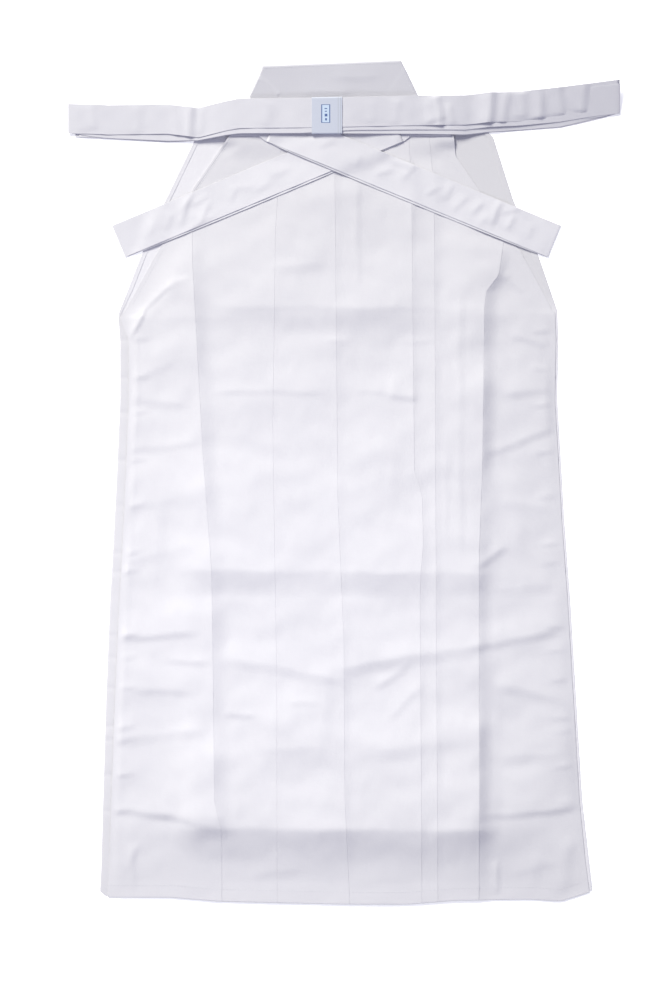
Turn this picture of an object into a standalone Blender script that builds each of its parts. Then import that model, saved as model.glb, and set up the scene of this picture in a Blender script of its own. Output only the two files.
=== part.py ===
"""Pleated hakama laid flat on a surface, front side up, its ties folded over it.

All sizes below are in millimetres. X runs to the viewer's right, Y toward the waist and Z up
out of the surface. The origin is at the middle of the whole outline, on the surface.
"""
import bpy
import bmesh
import math
import numpy as np

# Driving sizes
MM = 0.001
CLOTH = 1.0            # wall of one layer of panel cloth
LAYER = 1.4            # from one panel layer to the next, so 0.4 is left between them
TIE_WALL = 1.0         # wall of one layer of a tie
TIE_LAYER = 1.5        # from one tie layer to the next
SEAM_GAP = 0.4         # left between the edges of two pieces that are sewn together
FRONT_TOP = 431.0      # top edge of the front panels, inside the waistband
BACK_TOP = 424.8       # top edge of the back panels
GUSSET_TOP = -56.0     # the legs part here, 45 cm above the hem
BAND_BOTTOM = 414.0
BAND_TOP = 450.0
BAND_LOW_Z = 5.8       # middle of the waistband's lower layer
BAND_HIGH_Z = 11.0     # middle of its upper layer
FRONT_TIE_WIDTH = 35.5
BACK_TIE_WIDTH = 41.0
BOARD_WALL = 3.0
BOARD_RISE = 5.0       # how far the top edge of the back board stands off the surface

# Outline of the back panels and of the closed sides: height up the garment, x of the edge
OUTER_LEFT = [(-507, -293.0), (-477.6, -291.6), (-381.6, -289.2), (-261.6, -285.6), (-141.6, -280.8),
              (-81.6, -277.2), (14.4, -272.4), (98.4, -268.8), (170.4, -268.8), (200.4, -271.2),
              (268.8, -244.8), (332.4, -217.2), (406.8, -181.2), (424.8, -168.0)]
OUTER_RIGHT = [(-507, 298.0), (-453.6, 292.8), (-381.6, 285.6), (-261.6, 278.4), (-141.6, 271.2),
               (-45.6, 264.0), (38.4, 259.2), (98.4, 255.6), (170.4, 256.8), (206.4, 255.6),
               (272.4, 232.8), (338.4, 202.8), (414.0, 178.8), (424.8, 168.0)]
# How far the back panel comes round to the front at its side edge: height, width of the strip
STRIP_LEFT = [(-507, 11.0), (-141.6, 13.0), (170.4, 12.0), (200.4, 5.0), (230, 8.0), (425, 8.0)]
STRIP_RIGHT = [(-507, 5.0), (200.4, 4.0), (230, 8.0), (425, 8.0)]
# Open side vents of the front panels: height, x of the edge
VENT_LEFT = [(203, -264.0), (264, -230.4), (343, -184.0), (350, -182.4), (412.8, -139.2), (431, -127.0)]
VENT_RIGHT = [(208, 249.0), (278.4, 211.2), (296, 190.0), (348, 159.0), (391, 130.0), (412.8, 128.0), (431, 119.0)]
# Hem of the front: x, height
HEM = [(-293, -492.0), (-285.6, -498.0), (-208.8, -498.0), (-148.8, -502.8), (1.2, -506.4),
       (76.8, -506.4), (134.4, -501.6), (223.2, -500.4), (259.2, -502.8), (298, -491.0)]

# Fold edges of the pleats: height, x of the edge. Every pleat is turned to the right.
PLEAT_OUTER_LEFT = [(-507, -146.4), (-417.6, -146.4), (-381.6, -154.8), (-189.6, -157.2), (-105.6, -158.4),
                    (38.4, -169.2), (194, -177.6), (264, -181.5), (320, -182.0), (343, -180.5),
                    (350, -179.0), (412.8, -135.8), (431, -123.6)]
PLEAT_INNER_LEFT = [(-507, -80.0), (-240, -80.4), (62, -85.2), (300, -82.0), (431, -74.0)]
PLEAT_CENTRE = [(-507, 7.2), (-381.6, 1.2), (-189.6, 0.0), (-22, -7.2), (362, -10.8), (431, -10.8)]
PLEAT_FIRST_RIGHT = [(-507, 93.6), (-141.6, 91.2), (-75, 94.0), (-20, 92.0), (12, 84.0), (350, 81.1), (431, 77.0)]
PLEAT_SECOND_RIGHT = [(-507, 112.8), (-141.6, 110.4), (182, 109.2), (350, 108.0), (431, 101.0)]
PLEAT_OUTER_RIGHT = [(-507, 162.0), (-81.6, 162.0), (8.4, 165.6), (170.4, 168.0), (208, 168.0), (228, 171.5),
                     (241, 178.0), (254, 185.0), (290.4, 192.0), (348, 163.2), (391, 134.0), (412.8, 132.0), (431, 123.0)]
# Deepest the cloth is tucked under each fold edge
DEPTH_OUTER = 30.0
DEPTH_INNER = 24.0
DEPTH_CENTRE = 40.0

# Stations up the panels, from the hem to the waist
STATIONS = [-506.4, -493, -454, -418, -382, -320, -262, -190, -142, -106, -75, -45, -20, 12, 38, 98, 150,
            170.4, 186, 200.4, 214, 228, 241, 254, 270, 291, 320, 343, 356, 380, 400, 413, 431]

# How much the front puffs up between the creases it was packed with: height up the garment, rise
PUFF = [(-507, 0.3), (-454, 1.2), (-418, 0.0), (-382, 1.4), (-320, 0.8), (-262, 1.3), (-190, 0.2), (-142, 1.2),
        (-106, 0.0), (-75, 1.2), (12, 1.6), (98, 0.9), (150, 1.4), (204, 0.0), (243, 1.0), (343, 0.8), (400, 0.0)]

# Crossed back ties: far end and near end of the centre line, from the table of the photograph
TIE_OVER_FAR = (252.6, 288.6)      # the tie that lies on top, from upper left to lower right
TIE_OVER_NEAR = (-88.0, 428.3)
TIE_UNDER_FAR = (-270.4, 288.6)    # the tie beneath it, from upper right to lower left
TIE_UNDER_NEAR = (66.0, 428.3)
# Front ties: x, lower edge of the lowest layer, lower edge of the top layer
STACK_EDGES = [(-332, 414.0, 421.5), (-283, 411.6, 416.4), (-212, 407.5, 417.5), (-175, 409.0, 412.8),
               (-140, 414.8, 421.0), (-125, 416.4, 423.6), (-41, 416.4, 424.0), (0, 416.4, 424.8),
               (91, 416.0, 427.0), (145, 415.2, 427.7), (173, 418.8, 431.0), (208, 421.0, 432.0),
               (259, 424.8, 437.5), (332, 440.4, 447.0)]


def table(rows, at):
    """Value between the rows of a two-column table."""
    return float(np.interp(at, [r[0] for r in rows], [r[1] for r in rows]))


def smooth(t):
    t = min(1.0, max(0.0, t))
    return t * t * (3 - 2 * t)


def clear_scene():
    for ob in list(bpy.data.objects):
        bpy.data.objects.remove(ob)


def make_collection(name):
    col = bpy.data.collections.new(name)
    bpy.context.scene.collection.children.link(col)
    return col


def make_material(name, colour, roughness):
    mat = bpy.data.materials.new(name)
    mat.use_nodes = True
    shader = mat.node_tree.nodes["Principled BSDF"]
    shader.inputs["Base Color"].default_value = (*colour, 1.0)
    shader.inputs["Roughness"].default_value = roughness
    shader.inputs["Metallic"].default_value = 0.0
    mat.diffuse_color = (*colour, 1.0)
    return mat


def add_object(name, mesh, mat, col):
    ob = bpy.data.objects.new(name, mesh)
    mesh.materials.append(mat)
    col.objects.link(ob)
    for poly in mesh.polygons:
        poly.use_smooth = True
    return ob


def add_sheet(name, rows, wall, mat, col):
    """Open grid of points in rows, given a wall by Solidify."""
    count = len(rows[0])
    verts = [(x * MM, y * MM, z * MM) for row in rows for x, y, z in row]
    faces = []
    for j in range(len(rows) - 1):
        for i in range(count - 1):
            a = j * count + i
            faces.append((a, a + 1, a + count + 1, a + count))
    mesh = bpy.data.meshes.new(name)
    mesh.from_pydata(verts, [], faces)
    mesh.update()
    ob = add_object(name, mesh, mat, col)
    solid = ob.modifiers.new("wall", "SOLIDIFY")
    solid.thickness = wall * MM
    solid.offset = 0.0
    solid.use_even_offset = True
    return ob


def stretch(rows, y):
    """A fold that runs askew is cut longer by a level section: by how much."""
    slope = (table(rows, y + 8) - table(rows, y - 8)) / 16
    return min(1.6, math.sqrt(1 + slope * slope))


def turn(x, level_from, level_to, side, longer=1.0):
    """Half circle of a fold whose outermost middle line is at x, as (x, level) points."""
    half = (level_to - level_from) / 2
    r = LAYER * abs(half) * longer
    points = []
    for angle in (-90, -35, 35, 90):
        a = math.radians(angle)
        points.append((x - side * r * (1 - math.cos(a)), level_from + half * (1 + math.sin(a))))
    return points


# Panels of the front

def side_left(y):
    """Left edge of the front panel: the side seam below, the open vent above."""
    if y <= 200.4:
        return table(OUTER_LEFT, y) + table(STRIP_LEFT, y) + SEAM_GAP
    return table(VENT_LEFT, y)


def side_right(y):
    if y <= 205.0:
        return table(OUTER_RIGHT, y) - table(STRIP_RIGHT, y) - SEAM_GAP
    return table(VENT_RIGHT, y)


def front_base(x, y):
    """Height of the lowest front layer: on the back at the sides, on the gussets in the middle."""
    rise = smooth((x - side_left(y)) / 70) * smooth((side_right(y) - x) / 70)
    body = 1.8 + (2.7 + table(PUFF, y)) * rise
    waist = smooth((y - 356) / 50)
    return body * (1 - waist) + 7.0 * waist


def pleat(prev_edge, edge, depth, longer=1.0, parts=1):
    """Points of one knife pleat: up the ramp, out to the fold edge, back under, and out again."""
    inner = edge - depth
    ramp_from = min(prev_edge + 2.4, inner - 5.0)
    points = [(ramp_from, 0.0), (inner - 1.5 * longer - 1.0, 2.0)]
    outer_turn = turn(edge, 2.0, 1.0, 1, longer)
    inner_turn = turn(inner, 1.0, 0.0, -1, longer)
    points += spread(points[-1], outer_turn[0], parts) + outer_turn
    points += spread(points[-1], inner_turn[0], parts) + inner_turn
    return points


def spread(start, end, parts):
    """Even points between two points, both left out."""
    out = []
    for k in range(1, parts):
        t = k / parts
        out.append((start[0] + (end[0] - start[0]) * t, start[1] + (end[1] - start[1]) * t))
    return out


def front_left_path(y):
    edge = side_left(y)
    outer = table(PLEAT_OUTER_LEFT, y)
    inner_pleat = table(PLEAT_INNER_LEFT, y)
    centre = table(PLEAT_CENTRE, y)
    longer = stretch(PLEAT_OUTER_LEFT, y)
    depth = min(DEPTH_OUTER, (outer - edge) * 0.6 + 1.2)
    flat_from = max(edge + 0.6, outer - depth - 1.6)
    start_level = 2.0 * (1 - smooth((flat_from - edge) / 25))
    start = (edge, start_level)
    path = [start] + spread(start, (flat_from, 2.0), 4) + [(flat_from, 2.0)]
    path += turn(outer, 2.0, 1.0, 1, longer) + turn(outer - depth, 1.0, 0.0, -1, longer)
    second = pleat(outer, inner_pleat, DEPTH_INNER)
    path += spread(path[-1], second[0], 2) + second
    third = pleat(inner_pleat, centre, DEPTH_CENTRE)[:6]
    path += third + [(centre - DEPTH_CENTRE, 1.0)]
    return path


def front_right_path(y):
    centre = table(PLEAT_CENTRE, y)
    first = table(PLEAT_FIRST_RIGHT, y)
    second = table(PLEAT_SECOND_RIGHT, y)
    outer = table(PLEAT_OUTER_RIGHT, y)
    edge = side_right(y)
    path = [(centre - DEPTH_CENTRE, 0.0)]
    path += pleat(centre, first, DEPTH_INNER)
    path += pleat(first, second, min(DEPTH_INNER, second - first - 8.0))
    tuck = min(DEPTH_OUTER, (outer - second) * 0.5)
    path += pleat(second, outer, tuck, stretch(PLEAT_OUTER_RIGHT, y), 3)
    path += spread(path[-1], (edge, 0.0), 5) + [(edge, 0.0)]
    return path


def front_rows(path_of):
    rows = []
    for k, y in enumerate(STATIONS):
        row = []
        for x, level in path_of(y):
            height = table(HEM, x) if k == 0 else y
            if k == 1:
                height = max(y, table(HEM, x) + 6.0)
            row.append((x, height, front_base(x, y) + level * LAYER))
        rows.append(row)
    return rows


# Panels of the back

def back_rows(right):
    """The left panel folds under at the middle; the right one comes down over that pleat."""
    rows = []
    heights = [y for y in STATIONS if y < 400] + [BACK_TOP]
    for k, y in enumerate(heights):
        if right:
            edge = table(OUTER_RIGHT, y) - CLOTH / 2
            path = [(-30.0, 2.0), (21.5, 2.0), (26.5, 0.0)]
            path += spread((26.5, 0.0), (edge - 6.0, 0.0), 3)
            path += turn(edge, 0.0, 1.0, 1, stretch(OUTER_RIGHT, y))
            path += [(edge + CLOTH / 2 - table(STRIP_RIGHT, y), 1.0)]
        else:
            edge = table(OUTER_LEFT, y) + CLOTH / 2
            path = [(edge - CLOTH / 2 + table(STRIP_LEFT, y), 1.0)]
            path += turn(edge, 1.0, 0.0, -1, stretch(OUTER_LEFT, y))
            path += spread((edge + 6.0, 0.0), (18.0, 0.0), 3)
            path += turn(20.0, 0.0, 1.0, 1) + [(-30.0, 1.0)]
        row = []
        for x, level in path:
            height = y
            if k == 0:
                height = table(HEM, x) + 2.0
            if k == 1:
                height = max(y, table(HEM, x) + 8.0)
            row.append((x, height, CLOTH / 2 + level * LAYER))
        rows.append(row)
    return rows


def gusset_rows(side):
    """A strip folded lengthwise between front and back, narrow where the legs part."""
    rows = []
    for y in (-494.0, -380.0, -260.0, -160.0, GUSSET_TOP):
        t = (y - GUSSET_TOP) / (-494.0 - GUSSET_TOP)
        open_edge = 31.0 if side > 0 else -36.0
        fold = open_edge + side * (14.0 + 66.0 * t)
        path = [(open_edge, 2.0)] + turn(fold, 2.0, 1.0, side) + [(open_edge, 1.0)]
        rows.append([(x, y, CLOTH / 2 + level * LAYER) for x, level in path])
    return rows


def waistband_rows():
    """Folded over the top edge of the front: lower layer, fold, upper layer."""
    r = (BAND_HIGH_Z - BAND_LOW_Z) / 2
    centre_z = (BAND_HIGH_Z + BAND_LOW_Z) / 2
    section = [(BAND_BOTTOM, BAND_LOW_Z)]
    for angle in (-90, -60, -30, 0, 30, 60, 90):
        a = math.radians(angle)
        section.append((BAND_TOP - r - CLOTH / 2 + r * math.cos(a), centre_z + r * math.sin(a)))
    section.append((BAND_BOTTOM, BAND_HIGH_Z))
    rows = []
    for y, z in section:
        t = (y - BAND_BOTTOM) / (BAND_TOP - BAND_BOTTOM)
        left = -138.0 + 24.0 * t
        right = 130.0 - 22.0 * t
        rows.append([(left + (right - left) * k / 6, y, z) for k in range(7)])
    return rows


# Heights of what the ties lie on

def body_height(x, y):
    """Top of everything under the ties at one point."""
    top = 0.0
    if y < BACK_TOP + 2 and table(OUTER_LEFT, y) - 2 < x < table(OUTER_RIGHT, y) + 2:
        top = 1.0 + LAYER
    if y < FRONT_TOP and side_left(y) - 2 < x < max(side_right(y), table(PLEAT_OUTER_RIGHT, y)) + 2:
        top = front_base(x, y) + 2 * LAYER + CLOTH / 2
    if BAND_BOTTOM - 2 < y < BAND_TOP + 2:
        t = (y - BAND_BOTTOM) / (BAND_TOP - BAND_BOTTOM)
        if -140 + 24 * t < x < 132 - 22 * t:
            top = BAND_HIGH_Z + CLOTH / 2
    return top


def envelope(heights, reach):
    """Highest of the neighbours, then their mean, so that a tie bridges what it lies on."""
    n = len(heights)
    high = [max(heights[max(0, i - reach):i + reach + 1]) for i in range(n)]
    return [sum(high[max(0, i - reach):i + reach + 1]) / len(high[max(0, i - reach):i + reach + 1]) for i in range(n)]


class BackTie:
    """A tie folded double: its centre line, and the height of its lower layer along it."""

    def __init__(self, near, far, under, root_x):
        self.root_x = root_x
        self.near = np.array(near)
        self.far = np.array(far)
        self.length = float(np.linalg.norm(self.far - self.near))
        self.along = (self.far - self.near) / self.length
        self.across = np.array((-self.along[1], self.along[0]))
        if self.across[1] < 0:
            self.across = -self.across
        self.steps = [self.length * k / 60 for k in range(61)]
        raw = []
        for s in self.steps:
            spots = [self.near + self.along * s + self.across * w for w in (-21, -14, -7, 0, 7, 14, 21)]
            raw.append(max(under(p[0], p[1]) for p in spots))
        self.base = envelope(raw, 3)

    def low(self, s):
        return float(np.interp(s, self.steps, self.base)) + 0.3 + TIE_WALL / 2

    def top(self, x, y):
        d = np.array((x, y)) - self.near
        s = float(d @ self.along)
        w = float(d @ self.across)
        if -8 < s < self.length + 3 and abs(w) < BACK_TIE_WIDTH / 2 + 3:
            return self.low(min(max(s, 0), self.length)) + TIE_LAYER + TIE_WALL / 2
        if abs(x - self.root_x) < 22 and y > 425:
            return self.low(0) + TIE_WALL / 2
        return 0.0

    def row(self, s, z, shift):
        centre = self.near + self.along * s
        out = []
        for k in range(3):
            w = (k / 2 - 0.5) * BACK_TIE_WIDTH + shift
            p = centre + self.across * w
            out.append((p[0], p[1], z))
        return out

    def rows(self, root):
        """Root over the waistband's top edge, lower layer out, fold, upper layer back."""
        rows = [[(x, y, z) for x, y, z in station] for station in root]
        far = self.length - TIE_WALL / 2 - TIE_LAYER / 2
        steps = [far * k / 22 for k in range(1, 23)]
        for s in steps:
            shift = -2.2 * math.sin(math.pi * s / far)
            rows.append(self.row(s, self.low(s), shift))
        z = self.low(far)
        for angle in (-45, 0, 45):
            a = math.radians(angle)
            rows.append(self.row(far + TIE_LAYER / 2 * math.cos(a), z + TIE_LAYER / 2 + TIE_LAYER / 2 * math.sin(a), 0))
        for s in reversed(steps):
            rows.append(self.row(s, self.low(s) + TIE_LAYER, 0))
        rows.append(self.row(-4.0, self.low(0) + TIE_LAYER, 0))
        return rows


def tie_root(corner_x, tie, side):
    """Gathered end of a back tie: from the back board's corner over the waistband's top edge."""
    z = tie.low(0)
    rows = []
    for y, height, half in ((461.0, 6.6, 9.0), (457.0, 6.9, 9.0), (453.6, 9.0, 9.0), (452.2, z - 0.6, 9.2)):
        rows.append([(corner_x + side * half * (k - 1), y, height) for k in range(3)])
    start = np.array((corner_x, 449.0))
    full = math.atan2(abs(tie.across[1]), abs(tie.across[0]))
    for k in range(6):
        t = k / 5
        centre = start + (tie.near - start) * t
        half = 9.5 + (BACK_TIE_WIDTH / 2 - 9.5) * t
        way = np.array((side * math.cos(full * t), math.sin(full * t)))
        rows.append([(*(centre + way * half * w), z) for w in (-1, 0, 1)])
    return rows


# Ties of the front, in a stack

class Stack:
    """Layers of the front ties; level 0 is the lowest and 4 the top one."""

    def __init__(self, under):
        self.grid = [x for x in range(-336, 337, 8)]
        centre = []
        for x in self.grid:
            centre.append(max(under(x, y) for y in range(412, 463, 5)))
        self.support = envelope(centre, 2)
        self.root_left = -139.5
        self.root_right = 131.5

    def first(self, x):
        """Middle of the outer lengths that leave the waistband, lowest of all."""
        out = (self.root_left - x) if x < 0 else (x - self.root_right)
        rest = (1.0 + LAYER) * (1 - smooth((abs(x) - 180) / 26)) + TIE_WALL / 2
        start = (BAND_LOW_Z + BAND_HIGH_Z) / 2
        t = smooth(out / 44)
        return start * (1 - t) + rest * t

    def settle(self):
        """Heights of the lowest length that crosses the front, along all stations."""
        raw = []
        for x in self.grid:
            over = float(np.interp(x, self.grid, self.support)) + 0.4 + TIE_WALL / 2
            if x < self.root_left:
                over = max(over if x > -165 else 0.0, self.first(x) + TIE_LAYER)
            if x > self.root_right:
                over = max(over if x < 158 else 0.0, self.first(x) + TIE_LAYER)
            raw.append(over)
        self.crossing = envelope(raw, 1)

    def level(self, x, level):
        return float(np.interp(x, self.grid, self.crossing)) + (level - 1) * TIE_LAYER

    def lower_edge(self, x, level):
        xs = [r[0] for r in STACK_EDGES]
        low = float(np.interp(x, xs, [r[1] for r in STACK_EDGES]))
        high = float(np.interp(x, xs, [r[2] for r in STACK_EDGES]))
        return low + (high - low) * level / 4

    def row(self, x, z, level):
        y = self.lower_edge(x, level)
        return [(x, y, z), (x, y + FRONT_TIE_WIDTH, z)]

    def fold(self, x, side, low_z, high_z, level):
        """Rows of a fold that goes up; both lengths lie edge on edge here."""
        r = (high_z - low_z) / 2
        angles = (-60, -30, 0, 30, 60) if r > 1 else (-35, 35)
        out = []
        for angle in angles:
            a = math.radians(angle)
            out.append(self.row(x + side * r * math.cos(a), low_z + r * (1 + math.sin(a)), level))
        return out

    def span(self, x_from, x_to, level, start_level, end_level):
        """One length of the tie; its edges part from its neighbours' away from the folds."""
        between = [x for x in self.grid if min(x_from, x_to) + 2 < x < max(x_from, x_to) - 2]
        keep = [x for k, x in enumerate(between) if 125 < abs(x) < 215 or k % 3 == 0]
        xs = [min(x_from, x_to)] + keep + [max(x_from, x_to)]
        if x_to < x_from:
            xs.reverse()
        out = []
        for x in xs:
            near_start = 1 - smooth(abs(x - x_from) / 50)
            near_end = 1 - smooth(abs(x - x_to) / 50)
            shown = level + (start_level - level) * near_start + (end_level - level) * near_end
            z = self.first(x) if level == 0 else self.level(x, level)
            out.append(self.row(x, z, shown))
        return out


def front_tie_left_rows(stack):
    rows = stack.span(stack.root_left, -322.0, 0, 0, 0.5)
    rows += stack.fold(-322.0, -1, stack.first(-322), stack.level(-322, 1), 0.5)
    rows += stack.span(-322.0, 318.0, 1, 0.5, 1.5)
    rows += stack.fold(318.0, 1, stack.level(318, 1), stack.level(318, 2), 1.5)
    rows += stack.span(318.0, -318.0, 2, 1.5, 2)
    return rows


def front_tie_right_rows(stack):
    right_end = 331.2 - TIE_WALL / 2 - (stack.level(327, 3) - stack.first(327)) / 2
    left_end = -331.2 + TIE_WALL / 2 + TIE_LAYER / 2
    rows = stack.span(stack.root_right, right_end, 0, 0, 1.5)
    rows += stack.fold(right_end, 1, stack.first(right_end), stack.level(right_end, 3), 1.5)
    rows += stack.span(right_end, left_end, 3, 1.5, 3.5)
    rows += stack.fold(left_end, -1, stack.level(left_end, 3), stack.level(left_end, 4), 3.5)
    rows += stack.span(left_end, 330.0, 4, 3.5, 4)
    return rows


def label_rows(stack):
    """Band round the stack, open beneath: down both edges by a few millimetres."""
    rows = []
    drop = 4.5
    for x in (-42.0, -31.0, -20.0, -9.0, 1.2):
        top = stack.level(x, 4) + TIE_WALL / 2 + 0.3 + 0.5
        low = stack.lower_edge(x, 0) - 1.0
        high = stack.lower_edge(x, 4) + FRONT_TIE_WIDTH + 1.0
        section = [(low, top - drop), (low, top - 1.2), (low + 0.5, top - 0.4), (low + 1.5, top)]
        section += [(high - 1.5, top), (high - 0.5, top - 0.4), (high, top - 1.2), (high, top - drop)]
        rows.append([(x, y, z) for y, z in section])
    return rows


def add_back_board(mat, col):
    """Stiff board with its bottom edge on the surface and its top edge a little raised."""
    outline = [(-128.0, 425.3), (101.0, 425.3), (88.8, 462.0), (75.6, 488.4), (66.0, 506.0), (-98.4, 499.2),
               (-116.4, 459.6)]
    bm = bmesh.new()
    verts = []
    for x, y in outline:
        rise = BOARD_RISE * (y - 425.3) / 81.0
        verts.append(bm.verts.new((x * MM, y * MM, rise * MM)))
    bm.faces.new(verts)
    mesh = bpy.data.meshes.new("back_board")
    bm.to_mesh(mesh)
    bm.free()
    ob = add_object("back_board", mesh, mat, col)
    wall = ob.modifiers.new("wall", "SOLIDIFY")
    wall.thickness = BOARD_WALL * MM
    wall.offset = 1.0
    edge = ob.modifiers.new("round", "BEVEL")
    edge.width = 0.8 * MM
    edge.segments = 2
    edge.limit_method = "ANGLE"
    edge.angle_limit = math.radians(50)
    return ob


def build():
    clear_scene()
    col = make_collection("hakama")
    white = make_material("white_cotton", (0.83, 0.83, 0.86), 0.85)
    tie_white = make_material("tie_cotton", (0.80, 0.80, 0.84), 0.85)
    board_white = make_material("board_cotton", (0.74, 0.74, 0.79), 0.85)
    pale_blue = make_material("label_cloth", (0.62, 0.68, 0.80), 0.7)

    add_sheet("back_left", back_rows(False), CLOTH, white, col)
    add_sheet("back_right", back_rows(True), CLOTH, white, col)
    add_sheet("gusset_left", gusset_rows(-1), CLOTH, white, col)
    add_sheet("gusset_right", gusset_rows(1), CLOTH, white, col)
    add_sheet("front_left", front_rows(front_left_path), CLOTH, white, col)
    add_sheet("front_right", front_rows(front_right_path), CLOTH, white, col)
    add_back_board(board_white, col)
    add_sheet("waistband", waistband_rows(), CLOTH, white, col)

    under = BackTie(TIE_UNDER_NEAR, TIE_UNDER_FAR, body_height, 99.0)
    over = BackTie(TIE_OVER_NEAR, TIE_OVER_FAR, lambda x, y: max(body_height(x, y), under.top(x, y)), -122.0)
    add_sheet("back_tie_right", under.rows(tie_root(95.0, under, -1)), TIE_WALL, tie_white, col)
    add_sheet("back_tie_left", over.rows(tie_root(-121.0, over, 1)), TIE_WALL, tie_white, col)

    stack = Stack(lambda x, y: max(body_height(x, y), under.top(x, y), over.top(x, y)))
    stack.settle()
    add_sheet("front_tie_left", front_tie_left_rows(stack), TIE_WALL, tie_white, col)
    add_sheet("front_tie_right", front_tie_right_rows(stack), TIE_WALL, tie_white, col)
    add_sheet("label_band", label_rows(stack), CLOTH, pale_blue, col)


build()
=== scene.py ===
"""Looks of a white pleated hakama laid flat, front side up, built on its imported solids.

Sizes are in millimetres until a mesh is made. X is to the viewer's right, Y from the hem to the
waist, Z up out of the surface the garment lies on.
"""
import math
import bmesh
import bpy
import numpy as np
from mathutils.bvhtree import BVHTree
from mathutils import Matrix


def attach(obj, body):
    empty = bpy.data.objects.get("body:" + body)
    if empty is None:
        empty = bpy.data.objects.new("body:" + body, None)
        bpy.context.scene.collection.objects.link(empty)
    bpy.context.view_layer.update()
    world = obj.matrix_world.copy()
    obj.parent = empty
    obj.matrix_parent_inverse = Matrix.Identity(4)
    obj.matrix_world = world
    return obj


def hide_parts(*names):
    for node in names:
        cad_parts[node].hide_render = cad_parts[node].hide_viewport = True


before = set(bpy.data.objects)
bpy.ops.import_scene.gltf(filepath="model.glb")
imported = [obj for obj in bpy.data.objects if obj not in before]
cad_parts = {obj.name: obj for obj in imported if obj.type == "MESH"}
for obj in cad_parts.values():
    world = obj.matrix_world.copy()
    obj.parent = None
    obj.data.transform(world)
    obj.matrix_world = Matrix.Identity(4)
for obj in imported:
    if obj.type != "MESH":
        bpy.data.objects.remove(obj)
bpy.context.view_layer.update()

# Back panels. Two leg panels of plain white cotton lie face down on the surface, with a pleat in
# the middle. Their side edges come round to the front as a narrow strip that is sewn to the front
# panels, and above the side seams they end in the turned edges of the open vents.
BACK_TOP = 424.8
BACK_ROWS = np.concatenate([[-506.0, -505.7], np.arange(-504.5, BACK_TOP + 1, 2.6)])
LAP_FROM = -30.0       # the middle pleat: from this line in both panels
LAP_FOLD = 20.0        # to the folded edge of the left one
PLY = 0.30             # from one layer of pressed cloth to the next
CLOTH = 0.20           # thickness of the panel cloth
# Line of the hem: x, y. Outer edges, and width of the strip that comes round to the front: y, x.
HEM_LINE = [(-293, -492.0), (-285.6, -498.0), (-208.8, -498.0), (-148.8, -502.8), (1.2, -506.2),
            (76.8, -506.2), (134.4, -501.6), (223.2, -500.4), (259.2, -502.8), (298, -491.0)]
OUTER_LEFT = [(-507, -293.0), (-477.6, -291.6), (-381.6, -289.2), (-261.6, -285.6),
              (-141.6, -280.8), (-81.6, -277.2), (14.4, -272.4), (98.4, -268.8), (170.4, -268.8),
              (200.4, -271.2), (268.8, -244.8), (332.4, -217.2), (406.8, -181.2), (424.8, -168.0)]
OUTER_RIGHT = [(-507, 298.0), (-453.6, 292.8), (-381.6, 285.6), (-261.6, 278.4), (-141.6, 271.2),
               (-45.6, 264.0), (38.4, 259.2), (98.4, 255.6), (170.4, 256.8), (206.4, 255.6),
               (272.4, 232.8), (338.4, 202.8), (414.0, 178.8), (424.8, 168.0)]
STRIP_LEFT = [(-507, 11.0), (-141.6, 13.0), (170.4, 12.0), (200.4, 3.0), (230, 6.0), (425, 6.0)]
STRIP_RIGHT = [(-507, 5.0), (200.4, 4.0), (230, 7.0), (425, 7.0)]
# Where the side seams pucker: y.
SEAM_PUCKERS = (170, 125, 83, 26, -28, -85, -108, -184, -211, -247, -293, -310, -352, -395)


def between(rows, at):
    """Value between the rows of a two-column table, for one place or for many."""
    return np.interp(at, [r[0] for r in rows], [r[1] for r in rows])


def ease(t):
    t = np.clip(t, 0.0, 1.0)
    return t * t * (3 - 2 * t)


def add_node(tree, kind, inputs, **settings):
    """A node whose inputs are given values, or are linked to the outputs of other nodes."""
    node = tree.nodes.new(kind)
    for name, value in settings.items():
        setattr(node, name, value)
    for socket, value in inputs.items():
        if isinstance(value, bpy.types.NodeSocket):
            tree.links.new(value, node.inputs[socket])
        else:
            node.inputs[socket].default_value = value
    return node


def calc(tree, operation, *values):
    """Output of a Math node on numbers or on outputs of other nodes."""
    return add_node(tree, "ShaderNodeMath", dict(enumerate(values)), operation=operation).outputs[0]


def add_sockets(tree, in_out, kind, names):
    for name in names:
        tree.interface.new_socket(name=name, in_out=in_out, socket_type="NodeSocket" + kind)


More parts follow.
